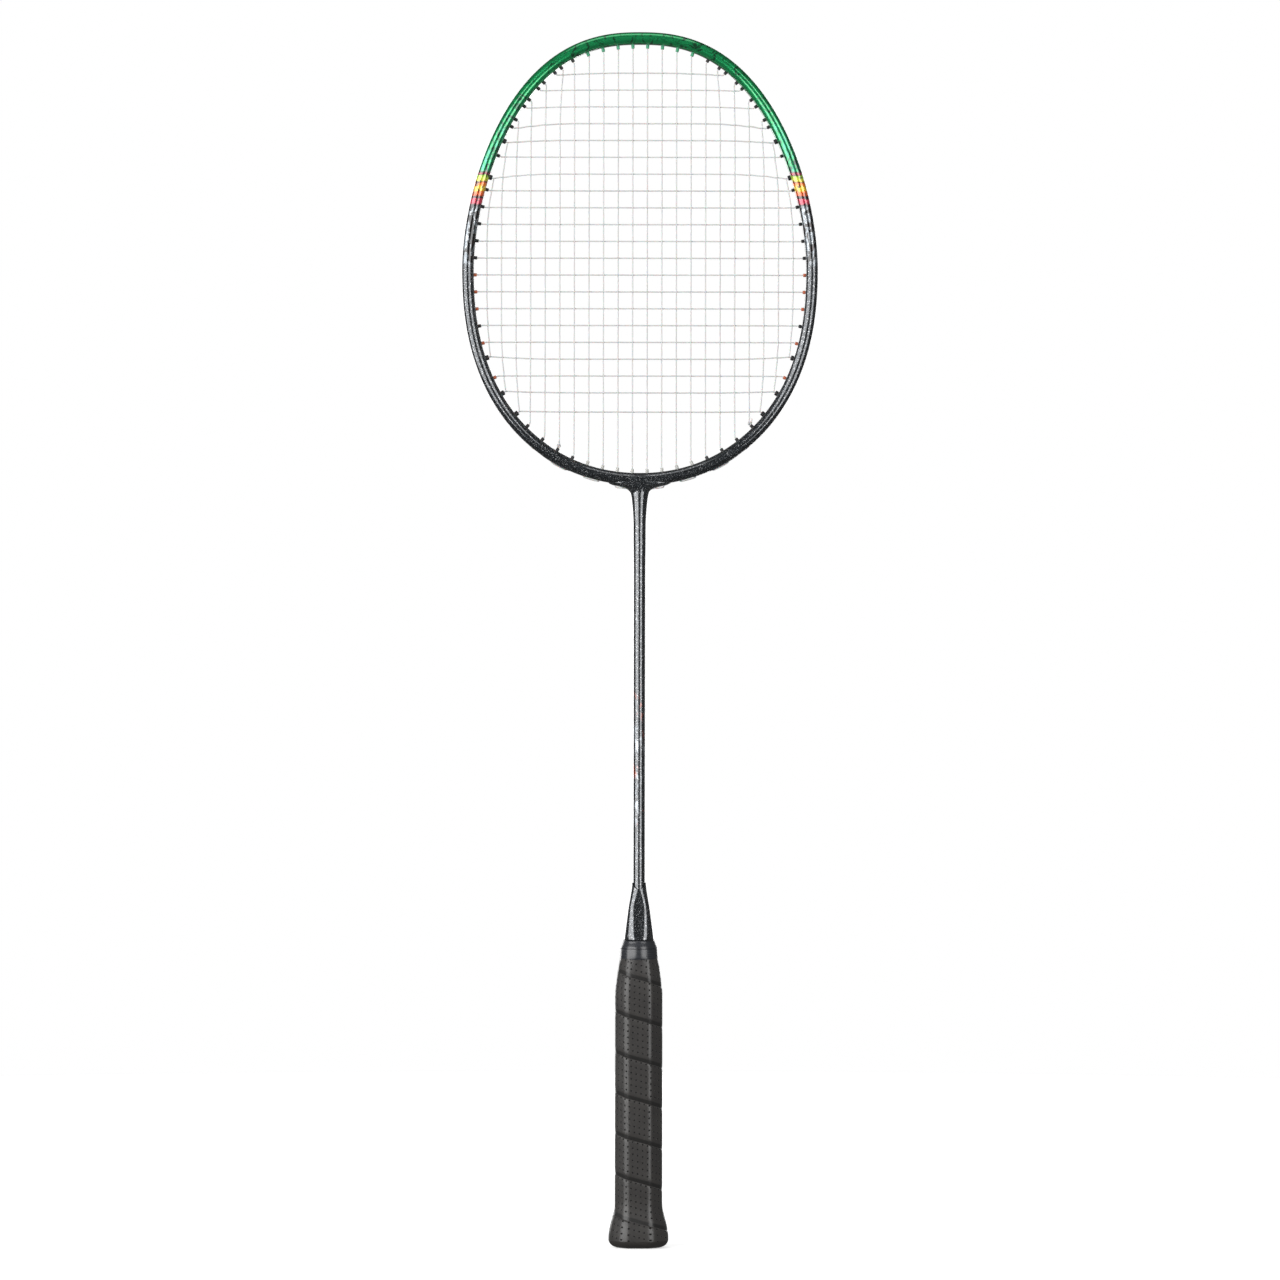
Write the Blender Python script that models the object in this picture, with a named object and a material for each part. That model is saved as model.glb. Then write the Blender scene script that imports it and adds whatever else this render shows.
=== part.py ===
"""Badminton racket: a hollow carbon head and shaft, grommet strips, woven strings and a wrapped handle.

The racket stands on the shaft's axis, +Z from the butt to the head. The string bed is the XZ plane
and the front faces -Y. The origin is the centre of the butt's flat end.
"""
import math

import bmesh
import bpy
import numpy as np
from mathutils import Vector

MM = 0.001
FIT = 0.3 * MM                # air gap kept between neighbouring pieces

# Head: outer outline, a flattened oval that is blunter towards the top
HEAD_HALF_WIDTH = 98.98 * MM
HEAD_WIDEST_Z = 544.2 * MM
HEAD_RISE = 131.0 * MM        # widest level up to the crown
HEAD_DROP = 120.6 * MM        # widest level down to the throat
CROWN_POWERS = (2.422, 1.742)     # across, along
THROAT_POWERS = (2.083, 2.32)
HEAD_STEPS = 68

# Head tube
TUBE_WIDTH = 6.7 * MM         # in the plane of the strings
TUBE_DEPTH = 10.5 * MM        # front to back
TUBE_WALL = 1.0 * MM
GROOVE_WIDTH = 4.6 * MM
GROOVE_DEPTH = 2.0 * MM

# Strings
STRING_DIAMETER = 0.7 * MM
MAIN_COUNT = 22
MAIN_PITCH = 8.1 * MM
CROSS_COUNT = 21
CROSS_PITCH = 9.35 * MM
CROSS_TOP_DROP = 22.6 * MM    # crown of the outline down to the first cross
LAST_CROSS_GAP = 10.7 * MM
WEAVE_GAP = 0.3 * MM          # air between a cross and the main it passes
WEAVE = STRING_DIAMETER + WEAVE_GAP
LANE_GAP = 0.85 * MM          # middle of the groove to a loop: mains run behind it, crosses in front
LANE = STRING_DIAMETER / 2 + LANE_GAP
SHARED_GAP = 0.15 * MM        # middle of a wide grommet to each of its two strings
SHARED_LANE = STRING_DIAMETER / 2 + SHARED_GAP
LOOP_TURN = 0.6 * MM          # over the string's own thickness: length of the turn into a hole
LOOP_DIP = 0.25 * MM          # how far a loop sinks where it turns into a hole
TAIL_LENGTH = 11.0 * MM       # tied-off end, laid along the groove
TAIL_PAST_HOLE = 1.0 * MM     # it ends at least this far past the next hole

# Grommets
BORE_ROOM = 0.8 * MM          # bore over one string
WIDE_ROOM = 1.2 * MM          # bore over two strings side by side
BARREL_BORE = STRING_DIAMETER + BORE_ROOM
BARREL_WALL = 0.4 * MM
WIDE_BORE = 2 * STRING_DIAMETER + WIDE_ROOM
BARREL_STAND = 2.0 * MM       # how far a barrel stands out inside the hoop
BAND_WIDTH = 3.6 * MM
BAND_THICKNESS = 0.5 * MM
BAND_SEAT = 0.2 * MM
HOLE_SPACING = 4.7 * MM       # nearest two holes in the tube
MAIN_FIRST = 2.5 * MM         # by the crown, a main's hole goes before a cross's this close to it
LEAD = 0.8 * MM               # barrel mouth to the string's bend
SHARED = {"top": {10: 5, 11: 7}, "bottom": {11: 18, 10: 20, 9: 21}}    # main number: cross number

# T joint and shaft
SHAFT_DIAMETER = 6.65 * MM
SHAFT_SWELL = 0.45 * MM       # wider at the joint
SHAFT_END_DIAMETER = SHAFT_DIAMETER + SHAFT_SWELL
THROAT_Z = HEAD_WIDEST_Z - HEAD_DROP          # lowest point of the hoop's outline
SADDLE_LAP = 1.0 * MM         # saddle's rim above the throat
NECK_DROP = 6.1 * MM          # throat down to the neck
JOINT_LENGTH = 24.5 * MM      # neck down to the shaft
NECK_SWELL = 2.5 * MM
JOINT_SADDLE_Z = THROAT_Z + SADDLE_LAP
JOINT_NECK_Z = THROAT_Z - NECK_DROP
JOINT_FOOT_Z = JOINT_NECK_Z - JOINT_LENGTH
JOINT_FOOT_DIAMETER = SHAFT_END_DIAMETER
JOINT_NECK_DIAMETER = JOINT_FOOT_DIAMETER + NECK_SWELL
JOINT_SADDLE_HALF = 17.6 * MM
TENON_DIAMETER = 3.0 * MM
SPIGOT_LENGTH = 24.0 * MM
SHAFT_TAPER = 18.0 * MM
SHAFT_WALL = 1.1 * MM
SHAFT_FOOT_Z = 104.0 * MM

# Grip: octagonal, wide flats facing front and back
GRIP_WIDTH = 26.3 * MM
GRIP_DEPTH = 23.5 * MM
GRIP_FLAT = 13.6 * MM         # front and back flats
GRIP_SIDE_FLAT = 11.5 * MM
GRIP_TAPER_TOP_Z = 160.6 * MM
GRIP_TAPER = 4.3 * MM         # narrower at the top
GRIP_TAPER_TOP_WIDTH = GRIP_WIDTH - GRIP_TAPER
GRIP_TAPER_FOOT_Z = 142.4 * MM
FLARE_START_Z = 23.0 * MM
GRIP_FLARE = 7.0 * MM         # wider at the butt
FLARE_WIDTH = GRIP_WIDTH + GRIP_FLARE
FLARE_Z = 6.2 * MM
WRAP_THICKNESS = 1.6 * MM
WRAP_FOOT_Z = 4.2 * MM
WRAP_TONGUE = 5.0 * MM        # thinned end of the wrap, under the finishing tape
TAPE_TOP_Z = 170.6 * MM
TAPE_THICKNESS = 0.8 * MM
CORE_FOOT_Z = 2.4 * MM
CAP_SOCKET_Z = 22.0 * MM
CAP_ROUNDING = 14.1 * MM      # flat end narrower than the flare
CAP_FACE_WIDTH = FLARE_WIDTH - CAP_ROUNDING

# Handle cone
CONE_TOP_Z = 202.8 * MM
CONE_LIP = 1.05 * MM          # mouth over the shaft
CONE_TOP_DIAMETER = SHAFT_DIAMETER + CONE_LIP
CONE_WAIST_Z = 199.0 * MM
CONE_WAIST_DIAMETER = CONE_TOP_DIAMETER + 1.2 * MM
CONE_BASE_Z = 171.2 * MM
CONE_STEP = 5.0 * MM          # narrower than the handle's top
CONE_BASE_DIAMETER = GRIP_TAPER_TOP_WIDTH - CONE_STEP
CONE_SKIRT = 11.0 * MM        # hidden below the base, under the finishing tape
CONE_SKIRT_DIAMETER = CONE_BASE_DIAMETER - 1.4 * MM
CONE_SCALLOP = 3.5 * MM       # depth of the notch front and back
CONE_SCALLOP_WIDTH = 6.4 * MM
NOSE_DIAMETER = CONE_SKIRT_DIAMETER - 3.2 * MM      # core's nose, inside the skirt
NOSE_LENGTH = 15.0 * MM

N_ROUND = 24


def clear_scene():
    for obj in list(bpy.data.objects):
        bpy.data.objects.remove(obj, do_unlink=True)


def new_collection(name):
    collection = bpy.data.collections.new(name)
    bpy.context.scene.collection.children.link(collection)
    return collection


def finish_material(name, colour, roughness, metallic=0.0):
    material = bpy.data.materials.new(name)
    material.use_nodes = True
    shader = material.node_tree.nodes["Principled BSDF"]
    shader.inputs["Base Color"].default_value = (*colour, 1.0)
    shader.inputs["Roughness"].default_value = roughness
    shader.inputs["Metallic"].default_value = metallic
    return material


def mesh_object(name, bm, collection, material=None):
    bmesh.ops.recalc_face_normals(bm, faces=bm.faces)
    mesh = bpy.data.meshes.new(name)
    bm.to_mesh(mesh)
    bm.free()
    mesh.shade_smooth()
    mesh.set_sharp_from_angle(angle=math.radians(40))
    obj = bpy.data.objects.new(name, mesh)
    collection.objects.link(obj)
    if material:
        mesh.materials.append(material)
    return obj


def cutter(name, bm):
    obj = mesh_object(name, bm, CUTTERS)
    obj.hide_render = True
    obj.display_type = "WIRE"
    return obj


def boolean(obj, other, operation="DIFFERENCE"):
    modifier = obj.modifiers.new(other.name, "BOOLEAN")
    modifier.object = other
    modifier.operation = operation
    modifier.solver = "EXACT"


def loft(bm, rings, closed=False):
    """Skins rings of points, all with as many points, and caps the ends unless the loft closes on itself."""
    made = [[bm.verts.new(point) for point in ring] for ring in rings]
    pairs = list(zip(made, made[1:] + made[:1])) if closed else list(zip(made, made[1:]))
    for first, second in pairs:
        for k in range(len(first)):
            m = (k + 1) % len(first)
            bm.faces.new((first[k], first[m], second[m], second[k]))
    if not closed:
        bm.faces.new(made[0])
        bm.faces.new(made[-1])
    return made


def hollow_loft(bm, outer, inner):
    """A sleeve: an outside and an inside skin, joined by a rim at each end."""
    skins = []
    for rings in (outer, inner):
        made = [[bm.verts.new(point) for point in ring] for ring in rings]
        for first, second in zip(made, made[1:]):
            for k in range(len(first)):
                m = (k + 1) % len(first)
                bm.faces.new((first[k], first[m], second[m], second[k]))
        skins.append(made)
    for end in (0, -1):
        out, into = skins[0][end], skins[1][end]
        for k in range(len(out)):
            m = (k + 1) % len(out)
            bm.faces.new((out[k], out[m], into[m], into[k]))


# ---------------------------------------------------------------- the hoop's centre line

def head_outline(count=3000):
    """Centre line of the right half of the hoop, crown to throat, with outward normals and lengths."""
    angle = np.linspace(0.0, math.pi, count)
    along, across = np.cos(angle), np.clip(np.sin(angle), 0.0, None)
    upper = along >= 0
    power_x = np.where(upper, CROWN_POWERS[0], THROAT_POWERS[0])
    power_z = np.where(upper, CROWN_POWERS[1], THROAT_POWERS[1])
    reach = np.where(upper, HEAD_RISE, HEAD_DROP) - TUBE_WIDTH / 2
    x = (HEAD_HALF_WIDTH - TUBE_WIDTH / 2) * across ** (2 / power_x)
    z = HEAD_WIDEST_Z + np.sign(along) * reach * np.abs(along) ** (2 / power_z)
    length = np.concatenate(([0.0], np.cumsum(np.hypot(np.diff(x), np.diff(z)))))
    even = np.linspace(0.0, length[-1], count)
    x, z = np.interp(even, length, x), np.interp(even, length, z)
    dx, dz = np.gradient(x, even), np.gradient(z, even)
    size = np.hypot(dx, dz)
    nx, nz = -dz / size, dx / size
    nx[0], nz[0], nx[-1], nz[-1] = 0.0, 1.0, 0.0, -1.0
    return even, x, z, nx, nz


def on_hoop(u, n=0.0, y=0.0):
    """Point at length u clockwise from the crown, n outwards from the tube's middle and y back."""
    u = u % (2 * HALF_HOOP)
    side, s = (1, u) if u <= HALF_HOOP else (-1, 2 * HALF_HOOP - u)
    x, z, nx, nz = (np.interp(s, OUTLINE[0], column) for column in OUTLINE[1:])
    size = math.hypot(nx, nz)
    return Vector((side * (x + n * nx / size), y, z + n * nz / size))


# ---------------------------------------------------------------- where the strings pass the tube

def bend_depth():
    return -(TUBE_WIDTH / 2 + BARREL_STAND + LEAD)


def natural_stations():
    """Where each main and cross would meet the right half of the hoop if the holes could lie anywhere."""
    n = bend_depth()
    s, x, z = OUTLINE[0], OUTLINE[1] + n * OUTLINE[3], OUTLINE[2] + n * OUTLINE[4]
    widest = int(np.argmax(x))
    found = {}
    for i in range(1, MAIN_COUNT // 2 + 1):
        at = (i - 0.5) * MAIN_PITCH
        found["top", i] = np.interp(at, x[:widest], s[:widest])
        found["bottom", i] = np.interp(-at, -x[widest:], s[widest:])
    crown = HEAD_WIDEST_Z + HEAD_RISE
    for j in range(1, CROSS_COUNT + 1):
        at = crown - CROSS_TOP_DROP - (j - 1) * CROSS_PITCH
        if j == CROSS_COUNT:
            at -= LAST_CROSS_GAP - CROSS_PITCH
        found["cross", j] = np.interp(-at, -z, s)
    return found


def hole_stations():
    """Hole positions down the right half: shared ones merged, and the rest eased apart."""
    found = natural_stations()
    holes = []
    for end in SHARED:
        for i, j in SHARED[end].items():
            at = 0.85 * found.pop(("cross", j)) + 0.15 * found.pop((end, i))
            holes.append([at, [(end, i), ("cross", j)]])
    holes += [[at, [key]] for key, at in found.items()]
    holes.sort(key=lambda hole: hole[0] - (MAIN_FIRST if hole[1][0][0] == "top" else 0.0))
    for _ in range(60):
        for a, b in zip(holes, holes[1:]):
            short = HOLE_SPACING - (b[0] - a[0])
            if short > 0:
                a[0] -= short / 2
                b[0] += short / 2
    return holes


def hex_prism(bm, u, across, n_from, n_to):
    """Six-sided bar along the hoop's normal at u; its corners point to front and back."""
    foot, top = on_hoop(u, n_from), on_hoop(u, n_to)
    axis = (top - foot).normalized()
    side = axis.cross(Vector((0, 1, 0)))
    rings = []
    for centre in (foot, top):
        ring = []
        for k in range(6):
            turn = math.radians(90 + 60 * k)
            ring.append(centre + across / 2 * (math.cos(turn) * side + math.sin(turn) * Vector((0, 1, 0))))
        rings.append(ring)
    loft(bm, rings)


def bore_of(keys):
    return WIDE_BORE if len(keys) > 1 else BARREL_BORE


# ---------------------------------------------------------------- head

def tube_profile():
    """Outside of the head tube as (outwards, back) points, with the string groove in its outer side."""
    half, deep, lip = TUBE_WIDTH / 2, TUBE_DEPTH / 2, GROOVE_WIDTH / 2
    front = [(half, lip), (0.84 * half, 0.72 * deep), (0.4 * half, 0.94 * deep), (-0.1 * half, deep),
             (-0.6 * half, 0.9 * deep), (-0.9 * half, 0.66 * deep), (-half, 0.28 * deep)]
    floor = [(half - GROOVE_DEPTH, lip - 0.2 * MM)]
    back = [(n, -y) for n, y in reversed(floor + front)]
    return floor + front + back


def cavity_profile():
    half, deep = TUBE_WIDTH / 2, TUBE_DEPTH / 2
    top, foot = half - GROOVE_DEPTH - TUBE_WALL, -half + TUBE_WALL
    wide = deep - TUBE_WALL
    side = [(top, 0.75 * wide), (0.45 * top + 0.55 * foot, wide), (foot, 0.55 * wide)]
    return side + [(n, -y) for n, y in reversed(side)]


def make_head_frame(holes):
    bm = bmesh.new()
    for profile in (tube_profile(), cavity_profile()):
        rings = []
        for k in range(HEAD_STEPS):
            u = 2 * HALF_HOOP * k / HEAD_STEPS
            rings.append([on_hoop(u, n, y) for n, y in profile])
        loft(bm, rings, closed=True)
    frame = mesh_object("head_frame", bm, RACKET, MAT["paint"])
    face_cavity_inwards(frame)
    bm = bmesh.new()
    for at, keys in holes:
        for u in (at, 2 * HALF_HOOP - at):
            hex_prism(bm, u, bore_of(keys) + 2 * BARREL_WALL + 2 * FIT, -TUBE_WIDTH, TUBE_WIDTH)
    hex_prism(bm, HALF_HOOP, TENON_DIAMETER + 2 * FIT, -0.5 * MM, TUBE_WIDTH)
    boolean(frame, cutter("grommet_holes", bm))
    return frame


def face_cavity_inwards(obj):
    """The smaller of the two skins is the hollow, so its faces look into the hollow."""
    bm = bmesh.new()
    bm.from_mesh(obj.data)
    bm.verts.ensure_lookup_table()
    outer_count = len(tube_profile()) * HEAD_STEPS
    inside = [f for f in bm.faces if min(v.index for v in f.verts) >= outer_count]
    outside = [f for f in bm.faces if min(v.index for v in f.verts) < outer_count]
    for faces, sign in ((outside, 1), (inside, -1)):
        if sum(f.calc_center_median().dot(f.normal) * f.calc_area() for f in faces) * sign < 0:
            bmesh.ops.reverse_faces(bm, faces=faces)
    bm.to_mesh(obj.data)
    bm.free()


def strip_groups(holes):
    """Names the strips down one side, crown to throat, by how many holes each takes."""
    plan = [("crown_strip", 4), ("shoulder_strip", 4), ("corner_strip", 5), ("upper_strip", 3)]
    plan += [("side_pair_1", 2), ("side_pair_2", 2)]
    plan += [(f"side_grommet_{k}", 1) for k in range(1, 7)]
    plan += [("wide_grommet", 1), ("side_grommet_7", 1), ("lower_strip", 2)]
    plan += [("throat_strip", 4), ("throat_inner_strip", 4)]
    groups, start = [], 0
    for name, count in plan:
        groups.append((name, holes[start:start + count]))
        start += count
    return groups


def make_strip(name, group, side, material):
    """One moulded strip: a band on the groove's floor with a barrel for each hole."""
    mirror = (lambda s: s) if side == "right" else (lambda s: 2 * HALF_HOOP - s)
    floor = TUBE_WIDTH / 2 - GROOVE_DEPTH + BAND_SEAT
    widest = max(bore_of(keys) for _, keys in group) + 2 * BARREL_WALL
    tail = 0.5 * widest + 0.25 * MM
    first, last = group[0][0] - tail, group[-1][0] + tail
    steps = max(1, round((last - first) / (9 * MM)))
    half = BAND_WIDTH / 2
    rings = []
    for k in range(steps + 1):
        u = mirror(first + (last - first) * k / steps)
        corners = [(floor, -half), (floor, half), (floor + BAND_THICKNESS, half), (floor + BAND_THICKNESS, -half)]
        rings.append([on_hoop(u, n, y) for n, y in corners])
    bm = bmesh.new()
    loft(bm, rings)
    strip = mesh_object(f"{name}_{side}", bm, RACKET, material)
    barrels, bores = bmesh.new(), bmesh.new()
    mouth = -(TUBE_WIDTH / 2 + BARREL_STAND)
    for at, keys in group:
        bore = bore_of(keys)
        hex_prism(barrels, mirror(at), bore + 2 * BARREL_WALL, mouth, floor + 0.6 * BAND_THICKNESS)
        hex_prism(bores, mirror(at), bore, mouth - 1 * MM, floor + BAND_THICKNESS + 1 * MM)
    boolean(strip, cutter(f"{name}_{side}_barrels", barrels), "UNION")
    boolean(strip, cutter(f"{name}_{side}_bores", bores))
    return strip


# ---------------------------------------------------------------- strings

def wire(name, points, material):
    """A string: a round-section curve made into a mesh, with its caps welded."""
    curve = bpy.data.curves.new(name, "CURVE")
    curve.dimensions = "3D"
    curve.bevel_depth = STRING_DIAMETER / 2
    curve.bevel_resolution = 0
    curve.use_fill_caps = True
    curve.twist_mode = "MINIMUM"
    spline = curve.splines.new("POLY")
    spline.points.add(len(points) - 1)
    for knot, point in zip(spline.points, points):
        knot.co = (*point, 1.0)
    source = bpy.data.objects.new(name + "_path", curve)
    RACKET.objects.link(source)
    mesh = bpy.data.meshes.new_from_object(source.evaluated_get(bpy.context.evaluated_depsgraph_get()))
    bpy.data.objects.remove(source, do_unlink=True)
    bm = bmesh.new()
    bm.from_mesh(mesh)
    bmesh.ops.remove_doubles(bm, verts=bm.verts, dist=0.01 * MM)
    return mesh_object(name, bm, RACKET, material)


def loop_in_groove(u_from, u_to, lane_from, lane_to, lane):
    """Leaves one grommet, runs along the groove and enters the next; lane is the loop's place in it."""
    top = TUBE_WIDTH / 2 - GROOVE_DEPTH + BAND_SEAT + BAND_THICKNESS
    run = top + STRING_DIAMETER / 2 + FIT
    way = 1 if u_to > u_from else -1
    turn = (STRING_DIAMETER + LOOP_TURN) * way
    bend = top + STRING_DIAMETER / 2 - LOOP_DIP
    points = [on_hoop(u_from, bend, lane_from)]
    start, end = u_from + turn, u_to - turn
    steps = max(1, round(abs(end - start) / (8 * MM)))
    points += [on_hoop(start + (end - start) * k / steps, run, lane) for k in range(steps + 1)]
    points.append(on_hoop(u_to, bend, lane_to))
    return points


def tail_in_groove(u, lane_at, lane, way, reach=TAIL_LENGTH):
    """Tied-off end of a string, laid along the groove."""
    return loop_in_groove(u, u + way * reach, lane_at, lane, lane)[:-1]


def reach_past_hole(ends, u, way):
    """Length of a tail that has to pass under the next hole."""
    beyond = min(way * (at - u) for at, _ in ends.values() if way * (at - u) > MM)
    return max(TAIL_LENGTH, beyond + TAIL_PAST_HOLE)


def string_stations(holes):
    """Length round the hoop and lane of every string end, for both halves."""
    ends = {}
    for at, keys in holes:
        for key in keys:
            kind, number = key
            lane = 0.0
            if len(keys) > 1:
                lane = SHARED_LANE if kind == "cross" else -SHARED_LANE
            ends[kind, number] = (at, lane)
            ends[kind, -number] = (2 * HALF_HOOP - at, lane)
    return ends


def main_numbers():
    half = MAIN_COUNT // 2
    return [i for i in range(-half, half + 1) if i]


def main_run(ends, number):
    """Straight run of one main between its two bends, top first."""
    (u_top, lane_top), (u_foot, lane_foot) = ends["top", number], ends["bottom", number]
    top, foot = on_hoop(u_top, bend_depth(), lane_top), on_hoop(u_foot, bend_depth(), lane_foot)
    points = [top, foot]
    level = Vector((1, 0, 1))
    way = ((foot - top) * level).normalized()
    if lane_foot:
        points.insert(1, foot * level - way * 3 * MM)
    if lane_top:
        points.insert(1, top * level + way * 3 * MM)
    return points


def make_main_string(ends):
    numbers = main_numbers()
    points, up = [], True
    for k, number in enumerate(numbers):
        run = main_run(ends, number)
        points += run[::-1] if up else run
        if k + 1 < len(numbers):
            end = "top" if up else "bottom"
            here, there = ends[end, number], ends[end, numbers[k + 1]]
            u_here, u_there = here[0], there[0]
            if end == "top" and u_here > HALF_HOOP > u_there:
                u_there += 2 * HALF_HOOP
            points += loop_in_groove(u_here, u_there, here[1], there[1], -LANE)
        up = not up
    first, last = ends["bottom", numbers[0]], ends["bottom", numbers[-1]]
    head = tail_in_groove(first[0], first[1], -LANE, -1)[::-1]
    foot = tail_in_groove(last[0], last[1], -LANE, 1)
    return wire("main_string", head + points + foot, MAT["string"])


def cross_run(ends, number, mains):
    """One cross from right to left, over and under each main that it meets."""
    (u_right, lane), (u_left, _) = ends["cross", number], ends["cross", -number]
    right, left = on_hoop(u_right, bend_depth(), lane), on_hoop(u_left, bend_depth(), lane)
    points, z = [right], right.z
    for k, (top, foot) in reversed(list(enumerate(mains))):
        if not foot.z + 1.2 * MM < z < top.z - 1.2 * MM:
            continue
        x = top.x + (foot.x - top.x) * (top.z - z) / (top.z - foot.z)
        if abs(x) > right.x - 1.2 * MM:
            continue
        points.append(Vector((x, WEAVE if (k + number) % 2 else -WEAVE, z)))
    points.append(left)
    return points


def make_cross_string(ends):
    mains = [(run[0], run[-1]) for run in (main_run(ends, number) for number in main_numbers())]
    points = []
    for number in range(1, CROSS_COUNT + 1):
        side = -1 if number % 2 else 1
        run = cross_run(ends, number, mains)
        points += run if side < 0 else run[::-1]
        if number < CROSS_COUNT:
            here, there = ends["cross", side * number], ends["cross", side * (number + 1)]
            points += loop_in_groove(here[0], there[0], here[1], there[1], LANE)
    first, last = ends["cross", 1], ends["cross", -CROSS_COUNT]
    head = tail_in_groove(first[0], first[1], LANE, -1)[::-1]
    foot = tail_in_groove(last[0], last[1], LANE, -1, reach_past_hole(ends, last[0], -1))
    return wire("cross_string", head + points + foot, MAT["string"])


# ---------------------------------------------------------------- T joint, shaft and cone

def circle(diameter, z, count=N_ROUND, depth=None):
    deep = diameter if depth is None else depth
    ring = []
    for k in range(count):
        turn = 2 * math.pi * (k + 0.5) / count
        ring.append(Vector((diameter / 2 * math.cos(turn), deep / 2 * math.sin(turn), z)))
    return ring


def make_t_joint():
    """Spigot in the shaft, neck, and a saddle that flares along the underside of the hoop."""
    spigot = SHAFT_DIAMETER - 2 * SHAFT_WALL - 2 * FIT
    rings = [circle(spigot, JOINT_FOOT_Z - SPIGOT_LENGTH), circle(spigot, JOINT_FOOT_Z)]
    rings += [circle(JOINT_FOOT_DIAMETER, JOINT_FOOT_Z)]
    rings += [circle(JOINT_NECK_DIAMETER * 0.9, 0.4 * JOINT_FOOT_Z + 0.6 * JOINT_NECK_Z)]
    rise = JOINT_SADDLE_Z - JOINT_NECK_Z
    grow = 2 * JOINT_SADDLE_HALF - JOINT_NECK_DIAMETER
    for k in range(7):
        t = k / 6
        wide = JOINT_NECK_DIAMETER + grow * (0.12 * t + 0.88 * t ** 5)
        deep = JOINT_NECK_DIAMETER + (TUBE_DEPTH - JOINT_NECK_DIAMETER) * t
        rings.append(circle(wide, JOINT_NECK_Z + rise * t, depth=deep))
    rings.append(circle(2 * JOINT_SADDLE_HALF, JOINT_SADDLE_Z + TUBE_WIDTH, depth=TUBE_DEPTH))
    bm = bmesh.new()
    loft(bm, rings)
    joint = mesh_object("t_joint", bm, RACKET, MAT["paint"])
    boolean(joint, cutter("hoop_bed", hoop_bed()))
    bm = bmesh.new()
    hex_prism(bm, HALF_HOOP, TENON_DIAMETER, 0.0, TUBE_WIDTH)
    boolean(joint, cutter("tenon", bm), "UNION")
    return joint


def hoop_bed():
    """The hoop's underside with its clearance, wide enough to take away all of the saddle above it."""
    spread = 1.6 * JOINT_SADDLE_HALF
    rings = []
    for k in range(13):
        u = HALF_HOOP - spread + 2 * spread * k / 12
        low, high = TUBE_WIDTH / 2 + FIT, -3 * TUBE_WIDTH
        rings.append([on_hoop(u, n, y) for n, y in
                      ((low, -TUBE_DEPTH), (low, TUBE_DEPTH), (high, TUBE_DEPTH), (high, -TUBE_DEPTH))])
    bm = bmesh.new()
    loft(bm, rings)
    return bm


def make_shaft():
    top = JOINT_FOOT_Z - FIT
    bore = SHAFT_DIAMETER - 2 * SHAFT_WALL
    outer = [circle(SHAFT_DIAMETER, SHAFT_FOOT_Z), circle(SHAFT_DIAMETER, top - SHAFT_TAPER)]
    outer.append(circle(SHAFT_END_DIAMETER, top))
    inner = [circle(bore, SHAFT_FOOT_Z), circle(bore, top - SHAFT_TAPER), circle(bore, top)]
    bm = bmesh.new()
    hollow_loft(bm, outer, inner)
    return mesh_object("shaft", bm, RACKET, MAT["graphite"])


def make_cone():
    """Moulded cone over the top of the handle, with a scalloped mouth round the shaft."""
    bore = SHAFT_DIAMETER + 1.2 * FIT
    seat = CONE_BASE_Z + 0.25 * NOSE_LENGTH
    outer = [circle(CONE_SKIRT_DIAMETER, CONE_BASE_Z - CONE_SKIRT), circle(CONE_SKIRT_DIAMETER, CONE_BASE_Z - 1 * MM),
             circle(CONE_BASE_DIAMETER, CONE_BASE_Z), circle(0.5 * (CONE_BASE_DIAMETER + CONE_WAIST_DIAMETER) + 0.4 * MM,
                                                             0.5 * (CONE_BASE_Z + CONE_WAIST_Z)),
             circle(CONE_WAIST_DIAMETER, CONE_WAIST_Z), circle(CONE_TOP_DIAMETER, CONE_TOP_Z)]
    inner = [circle(NOSE_DIAMETER + 2 * FIT, CONE_BASE_Z - CONE_SKIRT), circle(NOSE_DIAMETER + 2 * FIT, seat),
             circle(bore, seat), circle(bore, CONE_TOP_Z)]
    bm = bmesh.new()
    hollow_loft(bm, outer, inner)
    cone = mesh_object("handle_cone", bm, RACKET, MAT["graphite"])
    bm = bmesh.new()
    half = CONE_SCALLOP_WIDTH / 2
    made = bmesh.ops.create_cone(bm, cap_ends=True, segments=20, radius1=half, radius2=half,
                                 depth=2 * CONE_BASE_DIAMETER)
    bmesh.ops.scale(bm, vec=(1, CONE_SCALLOP / half, 1), verts=made["verts"])
    scallop = cutter("cone_scallop", bm)
    scallop.rotation_euler.x = math.radians(90)
    scallop.location.z = CONE_TOP_Z
    boolean(cone, scallop)
    return cone


# ---------------------------------------------------------------- handle

def octagon(width, z, trim=0.0):
    """Grip section at a given width over the sides; trim is taken off it all round."""
    grow = (width - GRIP_WIDTH) / 2 - trim
    wide, deep = GRIP_WIDTH / 2 + grow, GRIP_DEPTH / 2 + grow
    slack = grow * math.tan(math.radians(22.5))
    flat, side = GRIP_FLAT / 2 + slack, GRIP_SIDE_FLAT / 2 + slack
    ease = 0.12
    corners = [(wide, -side), (wide, side), (flat, deep), (-flat, deep), (-wide, side), (-wide, -side),
               (-flat, -deep), (flat, -deep)]
    ring = []
    for k, corner in enumerate(corners):
        here, before, after = Vector(corner), Vector(corners[k - 1]), Vector(corners[(k + 1) % 8])
        for other in (before, after):
            point = here.lerp(other, ease)
            ring.append(Vector((point.x, point.y, z)))
    return ring


def round_ring(diameter, z):
    """A circle whose points match the octagon's in number and order."""
    ring = []
    for k in range(16):
        turn = math.radians(22.5 * k - 33.75)
        ring.append(Vector((diameter / 2 * math.cos(turn), diameter / 2 * math.sin(turn), z)))
    return ring


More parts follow.
